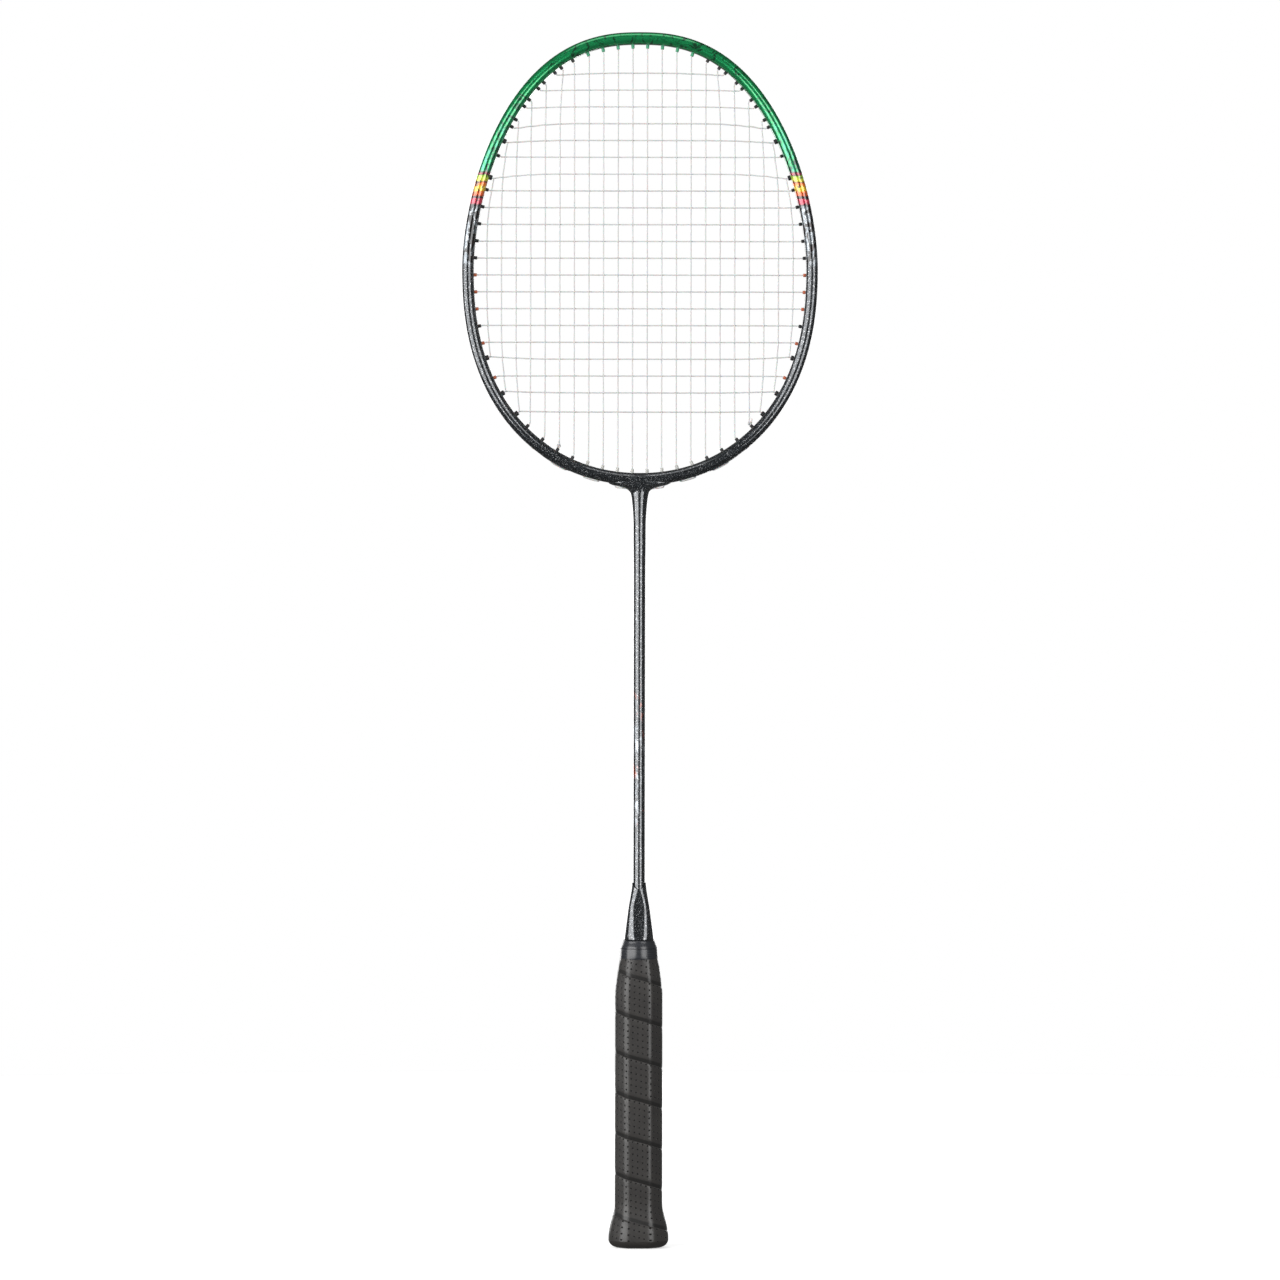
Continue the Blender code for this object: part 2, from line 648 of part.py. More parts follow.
def grip_width_at(z):
    """Width over the grip's side flats, from the flare at the butt to the taper under the tape."""
    if z <= FLARE_START_Z:
        t = min(1.0, max(0.0, (FLARE_START_Z - z) / (FLARE_START_Z - FLARE_Z)))
        return GRIP_WIDTH + (FLARE_WIDTH - GRIP_WIDTH) * (0.25 * t + 0.75 * t * t * (3 - 2 * t))
    if z >= GRIP_TAPER_FOOT_Z:
        t = (z - GRIP_TAPER_FOOT_Z) / (GRIP_TAPER_TOP_Z - GRIP_TAPER_FOOT_Z)
        return GRIP_WIDTH + (GRIP_TAPER_TOP_WIDTH - GRIP_WIDTH) * t
    return GRIP_WIDTH


def grip_ring(z, trim=0.0):
    """Outside of the grip at height z: an octagon that turns round towards the finishing tape's top."""
    width = grip_width_at(z)
    t = max(0.0, (z - GRIP_TAPER_FOOT_Z) / (TAPE_TOP_Z - GRIP_TAPER_FOOT_Z)) ** 1.5
    return [a.lerp(b, t) for a, b in zip(octagon(width, z, trim), round_ring(width - 2 * trim, z))]


def flare_levels(low, high):
    return [low + (high - low) * t for t in (0.0, 0.15, 0.35, 0.55, 0.75, 1.0)]


def make_grip_wrap():
    """Cushion grip round the handle, thinned at its top end, where the finishing tape holds it."""
    end = GRIP_TAPER_TOP_Z + WRAP_TONGUE
    step = GRIP_TAPER_TOP_Z + 0.1 * MM
    body = flare_levels(WRAP_FOOT_Z, FLARE_START_Z) + [GRIP_TAPER_FOOT_Z]
    body.append(0.5 * (GRIP_TAPER_FOOT_Z + GRIP_TAPER_TOP_Z))
    tuck = TAPE_THICKNESS + FIT
    outer = [grip_ring(z) for z in body + [GRIP_TAPER_TOP_Z]] + [grip_ring(z, tuck) for z in (step, end)]
    inner = [grip_ring(z, WRAP_THICKNESS) for z in body + [GRIP_TAPER_TOP_Z, step, end]]
    bm = bmesh.new()
    hollow_loft(bm, outer, inner)
    return mesh_object("grip_wrap", bm, RACKET, MAT["grip"])


def make_finishing_tape():
    """Tape wound over the end of the wrap and the foot of the cone."""
    foot, shoulder = GRIP_TAPER_TOP_Z + 2 * FIT, GRIP_TAPER_TOP_Z + WRAP_TONGUE + FIT
    outer = [grip_ring(foot), grip_ring(shoulder)]
    outer.append(round_ring(CONE_BASE_DIAMETER + 2 * TAPE_THICKNESS, shoulder + 3.2 * MM))
    outer.append(round_ring(CONE_BASE_DIAMETER + 0.7 * MM, TAPE_TOP_Z - FIT))
    skirt = CONE_SKIRT_DIAMETER + 2 * FIT
    inner = [grip_ring(foot, TAPE_THICKNESS), grip_ring(shoulder, TAPE_THICKNESS)]
    inner += [round_ring(skirt, shoulder + 0.4 * MM), round_ring(skirt, TAPE_TOP_Z - FIT)]
    bm = bmesh.new()
    hollow_loft(bm, outer, inner)
    return mesh_object("finishing_tape", bm, RACKET, MAT["tape"])


def make_handle_core():
    """Wooden core: an octagonal bar with a round nose for the cone, bored for the shaft."""
    trim = WRAP_THICKNESS + FIT
    shoulder = CONE_BASE_Z - CONE_SKIRT - FIT
    rings = [octagon(GRIP_WIDTH, CORE_FOOT_Z, trim), grip_ring(GRIP_TAPER_FOOT_Z, trim)]
    rings += [grip_ring(0.5 * (GRIP_TAPER_FOOT_Z + GRIP_TAPER_TOP_Z), trim), grip_ring(shoulder, trim)]
    nose = CONE_BASE_Z + 0.25 * NOSE_LENGTH - FIT
    rings += [round_ring(NOSE_DIAMETER, shoulder), round_ring(NOSE_DIAMETER, nose)]
    bm = bmesh.new()
    loft(bm, rings)
    core = mesh_object("handle_core", bm, RACKET, MAT["wood"])
    bm = bmesh.new()
    loft(bm, [circle(SHAFT_DIAMETER + 2 * FIT, SHAFT_FOOT_Z - FIT), circle(SHAFT_DIAMETER + 2 * FIT, nose + 5 * MM)])
    boolean(core, cutter("shaft_bore", bm))
    return core


def make_butt_cap():
    """Flared cap on the handle's end: a socket for the core, a rounded foot and a flat end face."""
    trim = WRAP_THICKNESS + FIT
    foot = WRAP_FOOT_Z - FIT
    outer = [octagon(CAP_FACE_WIDTH, 0.0), octagon(CAP_FACE_WIDTH + 7 * MM, 0.5 * MM)]
    outer += [octagon(FLARE_WIDTH - 3.2 * MM, 1.6 * MM), octagon(FLARE_WIDTH - 0.6 * MM, foot)]
    outer += [grip_ring(z, trim) for z in [foot + 0.05 * MM] + flare_levels(WRAP_FOOT_Z, CAP_SOCKET_Z)]
    bm = bmesh.new()
    loft(bm, outer)
    cap = mesh_object("butt_cap", bm, RACKET, MAT["cap"])
    bm = bmesh.new()
    seat = WRAP_THICKNESS
    loft(bm, [octagon(GRIP_WIDTH, CORE_FOOT_Z - FIT, seat), octagon(GRIP_WIDTH, CAP_SOCKET_Z + 5 * MM, seat)])
    boolean(cap, cutter("core_socket", bm))
    return cap


clear_scene()
RACKET = new_collection("badminton_racket")
CUTTERS = new_collection("cutters")
MAT = {
    "paint": finish_material("head_paint", (0.03, 0.27, 0.12), 0.25, 0.6),
    "graphite": finish_material("graphite_lacquer", (0.03, 0.032, 0.036), 0.3, 0.4),
    "string": finish_material("string", (0.8, 0.8, 0.78), 0.35),
    "grip": finish_material("grip", (0.045, 0.04, 0.038), 0.65),
    "tape": finish_material("tape", (0.03, 0.028, 0.028), 0.4),
    "wood": finish_material("wood", (0.55, 0.38, 0.2), 0.6),
    "cap": finish_material("cap", (0.02, 0.02, 0.02), 0.4),
    "black": finish_material("black_nylon", (0.015, 0.015, 0.016), 0.45),
    "green": finish_material("green_nylon", (0.05, 0.3, 0.15), 0.4),
    "amber": finish_material("amber_nylon", (0.45, 0.16, 0.07), 0.4),
    "clear": finish_material("clear_nylon", (0.75, 0.76, 0.74), 0.3),
}
OUTLINE = head_outline()
HALF_HOOP = float(OUTLINE[0][-1])
HOLES = hole_stations()
AMBER = ("side_grommet_2", "side_grommet_3", "side_grommet_4", "side_grommet_6", "side_grommet_7")

make_head_frame(HOLES)
for group_name, group_holes in strip_groups(HOLES):
    colour = "amber" if group_name in AMBER else "black"
    colour = "green" if group_name == "crown_strip" else colour
    colour = "clear" if group_name == "throat_inner_strip" else colour
    for strip_side in ("right", "left"):
        make_strip(group_name, group_holes, strip_side, MAT[colour])
ENDS = string_stations(HOLES)
make_main_string(ENDS)
make_cross_string(ENDS)
make_t_joint()
make_shaft()
make_cone()
make_handle_core()
make_grip_wrap()
make_finishing_tape()
make_butt_cap()
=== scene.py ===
import math

import bmesh
import bpy
import numpy as np
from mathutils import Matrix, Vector


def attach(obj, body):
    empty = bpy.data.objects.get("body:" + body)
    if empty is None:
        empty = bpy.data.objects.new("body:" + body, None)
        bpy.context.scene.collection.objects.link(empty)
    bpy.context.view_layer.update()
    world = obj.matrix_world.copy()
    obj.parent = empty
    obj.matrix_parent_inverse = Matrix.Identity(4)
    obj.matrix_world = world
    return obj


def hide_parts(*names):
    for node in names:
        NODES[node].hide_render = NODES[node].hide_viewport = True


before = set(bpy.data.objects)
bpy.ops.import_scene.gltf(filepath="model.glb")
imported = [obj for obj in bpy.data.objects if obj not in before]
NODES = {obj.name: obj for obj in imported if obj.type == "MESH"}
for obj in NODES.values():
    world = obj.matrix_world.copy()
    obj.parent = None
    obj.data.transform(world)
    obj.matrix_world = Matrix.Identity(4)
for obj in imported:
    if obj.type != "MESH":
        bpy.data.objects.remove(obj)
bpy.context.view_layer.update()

MM = 0.001

# ---------------------------------------------------------------- sizes, as the frame has them
HEAD_HALF_WIDTH = 98.9 * MM
HEAD_WIDEST_Z = 544.2 * MM
HEAD_RISE = 130.9 * MM
HEAD_DROP = 120.6 * MM
CROWN_POWERS = (2.422, 1.742)         # the outline is two half superellipses: powers in x and in z
THROAT_POWERS = (2.083, 2.32)
TUBE_WIDTH = 6.7 * MM
TUBE_DEPTH = 10.5 * MM
GROOVE_WIDTH = 4.6 * MM
GROOVE_DEPTH = 2.0 * MM
STRING = 0.7 * MM
MAINS, MAIN_PITCH = 22, 8.1 * MM
CROSSES, CROSS_PITCH = 21, 9.35 * MM
CROSS_TOP_DROP = 22.6 * MM
LAST_CROSS_GAP = 10.7 * MM
SHARED = {"top": {10: 5, 11: 7}, "bottom": {11: 18, 10: 20, 9: 21}}     # main and cross in one hole
CROSS_SHARE = 0.85            # how much of a shared hole's place is the cross's
HOLE_SPACING = 4.7 * MM       # least distance between two holes
MAIN_FIRST = 2.5 * MM         # near the crown a main's hole comes first if the two are this close
BARREL_STAND = 2.0 * MM       # a usual barrel's reach in past the tube
LEAD = 0.55 * MM              # and a string's straight run past it, before its bend
WEAVE = 0.36 * MM             # half the string's own thickness: mains and crosses bend alike
RUN_IN = 36.0 * MM            # how far in from its grommet a string takes to reach its even level
SHARED_LANE = 0.5 * MM        # how far off centre two strings lie in a hole that they share
LOOP_LANE = 1.2 * MM          # how far off centre a loop lies in the groove
GROOVE_FLOOR = TUBE_WIDTH / 2 - GROOVE_DEPTH
BAND_THICK = 0.62 * MM        # a grommet strip's band, in the groove
BARREL_WALL = 0.4 * MM
BORES = {1: 1.1 * MM, 2: 2.0 * MM}       # by how many strings pass the hole
BOSSES = {1: 1.5 * MM, 2: 2.6 * MM}

# round the throat the strips and loops stand proud; the rise fades out between these distances
THROAT_NEAR, THROAT_FAR = 52 * MM, 74 * MM
WINGS_NEAR, WINGS_FAR = 15 * MM, 20 * MM
BLACK_RISE, CLEAR_RISE, WINGS_RISE = 1.5 * MM, 0.7 * MM, 1.6 * MM

SHAFT_RADIUS, SHAFT_FLARE = 3.325, 0.22       # mm, as are the heights along the shaft
SHAFT_FOOT_Z, SHAFT_FLARE_Z, SHAFT_FLARE_RUN = 104.0, 376.0, 16.9
CONE_BORE = 3.40 * MM
NOTCH_DEPTH, NOTCH_FOOT_Z, NOTCH_RUN = 3.5 * MM, 188.0 * MM, 14.0 * MM

GRIP_WIDTH, GRIP_DEPTH = 26.3 * MM, 23.5 * MM
GRIP_FLAT, GRIP_SIDE_FLAT = 13.6 * MM, 11.5 * MM
GRIP_FOOT_Z, GRIP_TOP_Z = 4.2 * MM, 160.6 * MM
TAPER_FOOT_Z, TAPE_TOP_Z = 142.4 * MM, 170.6 * MM
TAPER_TOP_WIDTH = 22.0 * MM
GRIP_ROUNDING = 2.1 * MM
FLARE_Z, FLARE_START_Z, FLARE_WIDTH = 6.2 * MM, 23.0 * MM, 33.3 * MM
WRAP_PITCH = 22.5 * MM
WRAP_PHASE = 0.12             # of a turn: sets where the seams meet the front
TUCK_Z, TUCK_DEPTH = 156 * MM, 0.55      # the wrap is pressed in this far (mm) under the tape


# ---------------------------------------------------------------- making pieces

def piece(name, mesh, material, replaced):
    """A finished piece: smooth, on the racket's one body, standing for its CAD nodes."""
    obj = bpy.data.objects.new(name, mesh)
    bpy.context.scene.collection.objects.link(obj)
    mesh.materials.clear()
    mesh.materials.append(material)
    mesh.shade_smooth()
    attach(obj, "root")
    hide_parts(*replaced)
    return obj


def to_mesh(bm, name, sharp=35):
    """Finished mesh: smooth, but for edges that bend more than sharp degrees."""
    bmesh.ops.remove_doubles(bm, verts=bm.verts, dist=0.002 * MM)
    bmesh.ops.recalc_face_normals(bm, faces=bm.faces)
    mesh = bpy.data.meshes.new(name)
    bm.to_mesh(mesh)
    bm.free()
    mesh.shade_smooth()
    mesh.set_sharp_from_angle(angle=math.radians(sharp))
    return mesh


def draw_along(bm, count, corners, place, closed=False, marks=None):
    """Extrudes a ring of corners through count stations; place(k, i) is corner i's spot at station k.

    marks names the vertex attributes that place also returns, for patterns that follow the surface.
    """
    index = bm.verts.layers.int.get("corner") or bm.verts.layers.int.new("corner")
    layers = [bm.verts.layers.float.get(m) or bm.verts.layers.float.new(m) for m in marks or []]

    def put(vert, k):
        spot = place(k, vert[index])
        vert.co = spot[0] if layers else spot
        for layer, value in zip(layers, spot[1:] if layers else ()):
            vert[layer] = value

    first = []
    for i in range(corners):
        vert = bm.verts.new((0, 0, 0))
        vert[index] = i
        first.append(vert)
    edges = [bm.edges.new((first[i], first[(i + 1) % corners])) for i in range(corners)]
    start = list(edges)
    for vert in first:
        put(vert, 0)
    for k in range(1, count):
        made = bmesh.ops.extrude_edge_only(bm, edges=edges)["geom"]
        edges = [g for g in made if isinstance(g, bmesh.types.BMEdge)]
        for vert in (g for g in made if isinstance(g, bmesh.types.BMVert)):
            put(vert, k)
    if closed:
        bmesh.ops.bridge_loops(bm, edges=start + edges)
    else:
        for rim in (start, edges):
            bmesh.ops.edgeloop_fill(bm, edges=rim)


def spline_through(points, steps):
    """Smooth points through a coarse outline, steps to each span, by the Catmull-Rom rule."""
    points = [np.array(p, float) for p in points]
    out, last = [], len(points) - 1
    for k in range(last):
        a, b, c, d = (points[min(max(k + j, 0), last)] for j in (-1, 0, 1, 2))
        for step in range(steps):
            t = step / steps
            out.append(0.5 * (2 * b + (c - a) * t + (2 * a - 5 * b + 4 * c - d) * t * t
                              + (3 * b - a - 3 * c + d) * t ** 3))
    return out + [points[-1]]


# ---------------------------------------------------------------- the hoop and its holes

def head_outline(count=3000):
    """Middle line of the tube from the crown down the right half: length along, x, z and outward normal."""
    angle = np.linspace(0.0, math.pi, count)
    along, across = np.cos(angle), np.clip(np.sin(angle), 0.0, None)
    upper = along >= 0
    power_x = np.where(upper, CROWN_POWERS[0], THROAT_POWERS[0])
    power_z = np.where(upper, CROWN_POWERS[1], THROAT_POWERS[1])
    reach = np.where(upper, HEAD_RISE, HEAD_DROP) - TUBE_WIDTH / 2
    x = (HEAD_HALF_WIDTH - TUBE_WIDTH / 2) * across ** (2 / power_x)
    z = HEAD_WIDEST_Z + np.sign(along) * reach * np.abs(along) ** (2 / power_z)
    length = np.concatenate(([0.0], np.cumsum(np.hypot(np.diff(x), np.diff(z)))))
    even = np.linspace(0.0, length[-1], count)
    x, z = np.interp(even, length, x), np.interp(even, length, z)
    dx, dz = np.gradient(x, even), np.gradient(z, even)
    size = np.hypot(dx, dz)
    nx, nz = -dz / size, dx / size
    nx[0], nz[0], nx[-1], nz[-1] = 0.0, 1.0, 0.0, -1.0
    return even, x, z, nx, nz


OUTLINE = head_outline()
HALF_HOOP = float(OUTLINE[0][-1])


def on_hoop(u, n=0.0, y=0.0):
    """Point u metres clockwise from the crown, n outwards from the tube's middle and y back."""
    u = u % (2 * HALF_HOOP)
    side, s = (1, u) if u <= HALF_HOOP else (-1, 2 * HALF_HOOP - u)
    x, z, nx, nz = (np.interp(s, OUTLINE[0], column) for column in OUTLINE[1:])
    size = math.hypot(nx, nz)
    return Vector((side * (x + n * nx / size), y, z + n * nz / size))


def cross_level(j):
    lower = LAST_CROSS_GAP - CROSS_PITCH if j == CROSSES else 0.0
    return HEAD_WIDEST_Z + HEAD_RISE - CROSS_TOP_DROP - (j - 1) * CROSS_PITCH - lower


def hole_stations():
    """Hole positions down the right half of the hoop, with the strings that pass each one.

    Two strings that share a hole pull it to a weighted place between them, and holes that come out
    too close are then pushed apart, both ways alike.
    """
    n = -(TUBE_WIDTH / 2 + BARREL_STAND + 0.8 * MM)
    s, x, z = OUTLINE[0], OUTLINE[1] + n * OUTLINE[3], OUTLINE[2] + n * OUTLINE[4]
    widest, found = int(np.argmax(x)), {}
    for i in range(1, MAINS // 2 + 1):
        at = (i - 0.5) * MAIN_PITCH
        found["top", i] = np.interp(at, x[:widest], s[:widest])
        found["bottom", i] = np.interp(-at, -x[widest:], s[widest:])
    for j in range(1, CROSSES + 1):
        found["cross", j] = np.interp(-cross_level(j), -z, s)
    holes = []
    for end in SHARED:
        for i, j in SHARED[end].items():
            at = CROSS_SHARE * found.pop(("cross", j)) + (1 - CROSS_SHARE) * found.pop((end, i))
            holes.append([at, [(end, i), ("cross", j)]])
    holes += [[at, [key]] for key, at in found.items()]
    holes.sort(key=lambda hole: hole[0] - (MAIN_FIRST if hole[1][0][0] == "top" else 0.0))
    for _ in range(60):
        for a, b in zip(holes, holes[1:]):
            short = HOLE_SPACING - (b[0] - a[0])
            if short > 0:
                a[0] -= short / 2
                b[0] += short / 2
    return holes


HOLES = hole_stations()


def ease(value, low, high):
    """0 below low, 1 above high, and smooth between."""
    t = min(1.0, max(0.0, (value - low) / (high - low)))
    return t * t * (3 - 2 * t)


def near_throat(u, near, far):
    """1 within near of the throat's middle, 0 beyond far."""
    return 1 - ease(abs((u % (2 * HALF_HOOP)) - HALF_HOOP), near, far)


def strip_rise(u, clear):
    """How far a strip stands out of the groove: the black ones are proud of the tube round the throat."""
    return (CLEAR_RISE if clear else BLACK_RISE) * near_throat(u, THROAT_NEAR, THROAT_FAR)


def loop_rise(u):
    """Strings round the throat lie proud of the tube, and over the joint's wings."""
    return (BLACK_RISE * near_throat(u, THROAT_NEAR, THROAT_FAR)
            + WINGS_RISE * near_throat(u, WINGS_NEAR, WINGS_FAR))


# ---------------------------------------------------------------- head tube

def tube_outline():
    """Half of the tube's section as (outwards, back), from the groove's floor round to the inside."""
    half, deep, lip = TUBE_WIDTH / 2, TUBE_DEPTH / 2, GROOVE_WIDTH / 2
    crest, steps = 0.3 * MM, 14       # the deepest line lies crest outwards of the tube's middle
    groove = [(GROOVE_FLOOR, 0.0), (GROOVE_FLOOR, lip - 0.5 * MM),
              (GROOVE_FLOOR + 0.35 * MM, lip - 0.12 * MM), (half - 0.5 * MM, lip - 0.06 * MM),
              (half - 0.1 * MM, lip), (half, lip + 0.12 * MM)]
    round_outside, round_inside = lip + 0.3 * MM, 1.9 * MM       # half-depths where the rounding starts
    body = []
    for k in range(steps + 1):
        turn = math.pi / 2 * k / steps
        body.append((crest + (half - crest) * math.cos(turn),
                     round_outside + (deep - round_outside) * math.sin(turn)))
    for k in range(1, steps + 1):
        turn = math.pi / 2 * k / steps
        body.append((crest - (half + crest) * math.sin(turn),
                     round_inside + (deep - round_inside) * math.cos(turn)))
    return groove + body + [(-half, 0.0)]


def make_head_tube(material):
    """The hoop, closed on itself."""
    side = tube_outline()
    section = side + [(n, -y) for n, y in reversed(side[1:-1])]
    stations = 420

    def place(k, i):
        n, y = section[i]
        return on_hoop(2 * HALF_HOOP * k / stations, n, y)

    bm = bmesh.new()
    draw_along(bm, stations, len(section), place, closed=True)
    return piece("head_tube", to_mesh(bm, "head_tube", 50), material, ["head_frame"])


# ---------------------------------------------------------------- grommet strips

# name, how many holes it takes from the crown down, colour
STRIP_PLAN = [("crown_strip", 4, "green"), ("shoulder_strip", 4, "black"), ("corner_strip", 5, "black"),
              ("upper_strip", 3, "black"), ("side_pair_1", 2, "black"), ("side_pair_2", 2, "black"),
              ("side_grommet_1", 1, "black"), ("side_grommet_2", 1, "amber"), ("side_grommet_3", 1, "amber"),
              ("side_grommet_4", 1, "amber"), ("side_grommet_5", 1, "black"), ("side_grommet_6", 1, "amber"),
              ("wide_grommet", 1, "black"), ("side_grommet_7", 1, "amber"), ("lower_strip", 2, "black"),
              ("throat_strip", 4, "black"), ("throat_inner_strip", 4, "clear")]
# how far the barrels of each colour stand in from the tube
STANDS = {"green": 2.2 * MM, "clear": 2.2 * MM, "black": 1.6 * MM, "amber": 1.5 * MM}


def make_barrel(bm, u, bore, stand, rise):
    """A thin moulded tube through the frame, with a rounded lip at its mouth."""
    inner = bore / 2
    outer = inner + BARREL_WALL
    mouth = -(TUBE_WIDTH / 2 + stand)
    floor = GROOVE_FLOOR + rise
    top = floor + BAND_THICK
    profile = [(outer, floor), (outer, -TUBE_WIDTH / 2 - 0.2 * MM), (outer * 0.97, mouth + 0.35 * MM),
               (outer * 0.93, mouth + 0.08 * MM), (outer * 0.84, mouth),
               (inner + 0.06 * MM, mouth + 0.05 * MM), (inner, mouth + 0.25 * MM),
               (inner, top - 0.2 * MM), (inner + 0.12 * MM, top)]
    back = Vector((0, 1, 0))
    foot, tip = on_hoop(u, 0), on_hoop(u, TUBE_WIDTH)
    out = (tip - foot).normalized()
    side = out.cross(back)
    round_count = 14

    def place(k, i):
        r, n = profile[k]
        turn = 2 * math.pi * i / round_count
        return foot + out * n + r * (math.cos(turn) * side + math.sin(turn) * back)

    before = len(bm.faces)
    draw_along(bm, len(profile), round_count, place)
    bm.faces.ensure_lookup_table()
    caps = [f for f in bm.faces[before:] if len(f.verts) == round_count]
    bmesh.ops.delete(bm, geom=caps, context="FACES_ONLY")


def make_strip(name, group, side, material, colour):
    """Band on the groove's floor, narrowed to a round at both ends, with its barrels."""
    mirror = (lambda s: s) if side == "right" else (lambda s: 2 * HALF_HOOP - s)
    clear = colour == "clear"
    floor = GROOVE_FLOOR + 0.1 * MM
    beyond = max(BOSSES[len(keys)] for _, keys in group) / 2 + 0.7 * MM
    first, last = group[0][0] - beyond, group[-1][0] + beyond
    steps = max(4, round((last - first) / (1.2 * MM)))
    section = [(0.0, -1.7), (0.0, 1.7), (0.3, 1.9), (0.5, 1.75), (0.62, 1.2),
               (0.62, -1.2), (0.5, -1.75), (0.3, -1.9)]

    def place(k, i):
        t = k / steps
        u = first + (last - first) * t
        n, y = section[i]
        ends = min(1.0, min(t, 1 - t) * (last - first) / (1.4 * MM))
        round_end = math.sqrt(max(0.0, 1 - (1 - ends) ** 2)) * 0.6 + 0.4
        return on_hoop(mirror(u), floor + strip_rise(u, clear) + n * MM, y * MM * round_end)

    bm = bmesh.new()
    draw_along(bm, steps + 1, len(section), place)
    for at, keys in group:
        make_barrel(bm, mirror(at), BORES[len(keys)], STANDS[colour], strip_rise(at, clear))
    label = f"{name}_{side}"
    return piece(f"grommets_{label}", to_mesh(bm, label, 45), material, [label])


def make_all_strips(finishes):
    """Deals the holes out to the strips, from the crown down, on both halves."""
    start = 0
    for name, count, colour in STRIP_PLAN:
        for side in ("right", "left"):
            make_strip(name, HOLES[start:start + count], side, finishes[colour], colour)
        start += count


# ---------------------------------------------------------------- strings

TOO_SHORT = 0.001 * MM
NEARLY_STRAIGHT = -0.985      # cosine between the ways back and on, where a bend needs no rounding


def rounded(points, radius):
    """Takes the corners off a path of straight runs, as a string bends over a grommet."""
    out = [points[0]]
    for a, b, c in zip(points, points[1:], points[2:]):
        before, after = a - b, c - b
        if min(before.length, after.length) < TOO_SHORT:
            continue
        if before.normalized().dot(after.normalized()) < NEARLY_STRAIGHT:
            out.append(b)
            continue
        cut = min(radius, before.length * 0.45, after.length * 0.45)
        p, q = b + before.normalized() * cut, b + after.normalized() * cut
        out += [p.lerp(b, t).lerp(b.lerp(q, t), t) for t in (0.0, 0.3, 0.6, 1.0)]
    out.append(points[-1])
    return out


def cord_mesh(name, paths):
    """Round string along each path, as one mesh with closed ends."""
    curve = bpy.data.curves.new(name, "CURVE")
    curve.dimensions = "3D"
    curve.bevel_depth = STRING / 2
    curve.bevel_resolution = 2
    curve.use_fill_caps = True
    curve.twist_mode = "MINIMUM"
    for path in paths:
        spline = curve.splines.new("POLY")
        spline.points.add(len(path) - 1)
        for knot, point in zip(spline.points, path):
            knot.co = (*point, 1.0)
    source = bpy.data.objects.new(name + "_path", curve)
    bpy.context.scene.collection.objects.link(source)
    made = bpy.data.meshes.new_from_object(source.evaluated_get(bpy.context.evaluated_depsgraph_get()))
    bpy.data.objects.remove(source, do_unlink=True)
    bm = bmesh.new()
    bm.from_mesh(made)
    bpy.data.meshes.remove(made)
    return to_mesh(bm, name, 60)


def loop_in_groove(u_from, u_to, lane_from, lane_to, lane):
    """Path of a loop along the groove, over the strips, between two holes."""
    top = GROOVE_FLOOR + 0.75 * MM
    run = top + STRING / 2
    turn = 1.4 * MM * (1 if u_to > u_from else -1)
    points = [on_hoop(u_from, top + loop_rise(u_from), lane_from)]
    start, end = u_from + turn, u_to - turn
    steps = max(2, round(abs(end - start) / (2.5 * MM)))
    for k in range(steps + 1):
        u = start + (end - start) * k / steps
        points.append(on_hoop(u, run + loop_rise(u), lane))
    points.append(on_hoop(u_to, top + loop_rise(u_to), lane_to))
    return points


def string_ends():
    """Place on the hoop and lane of each string's two ends; numbers are negative on the left."""
    ends = {}
    for at, keys in HOLES:
        for kind, number in keys:
            lane = 0.0
            if len(keys) > 1:
                lane = SHARED_LANE if kind == "cross" else -SHARED_LANE
            ends[kind, number] = (at, lane)
            ends[kind, -number] = (2 * HALF_HOOP - at, lane)
    return ends


ENDS = string_ends()
BEND = -(TUBE_WIDTH / 2 + BARREL_STAND + LEAD)
MAIN_NUMBERS = [i for i in range(-MAINS // 2, MAINS // 2 + 1) if i]


def eased_level(level, ends):
    """Level of a string whose grommets are off its even level; ends are (distance in, level there)."""
    return level + sum((there - level) * max(0.0, 1 - away / RUN_IN) ** 2 for away, there in ends)


def crossings():
    """Where each main meets each cross, and which of the two lies in front there."""
    met = []
    for j in range(1, CROSSES + 1):
        right = on_hoop(ENDS["cross", j][0], BEND)
        for k, number in enumerate(MAIN_NUMBERS):
            top, foot = (on_hoop(ENDS[end, number][0], BEND) for end in ("top", "bottom"))
            even_x = math.copysign(abs(number) - 0.5, number) * MAIN_PITCH
            x, z = even_x, cross_level(j)
            for _ in range(4):
                x = eased_level(even_x, [(top.z - z, top.x), (z - foot.z, foot.x)])
                z = eased_level(cross_level(j), [(right.x - abs(x), right.z)])
            if foot.z + 1.0 * MM < z < top.z - 1.0 * MM and abs(x) < right.x - 1.0 * MM:
                met.append((j, k, x, z, 1 if (k + j) % 2 else -1))
    return met


MET = crossings()


def woven_run(start, end, places, sign):
    """Straight run that humps over or under each string it meets; places are (point, side)."""
    way = (end - start).normalized()
    points = [start]
    for point, side in places:
        hump = Vector((0, WEAVE * side * sign, 0))
        for along, share in ((-1.3, 0.8), (-0.5, 1.0), (0.5, 1.0), (1.3, 0.8)):
            points.append(point + way * along * MM + hump * share)
    return points + [end]


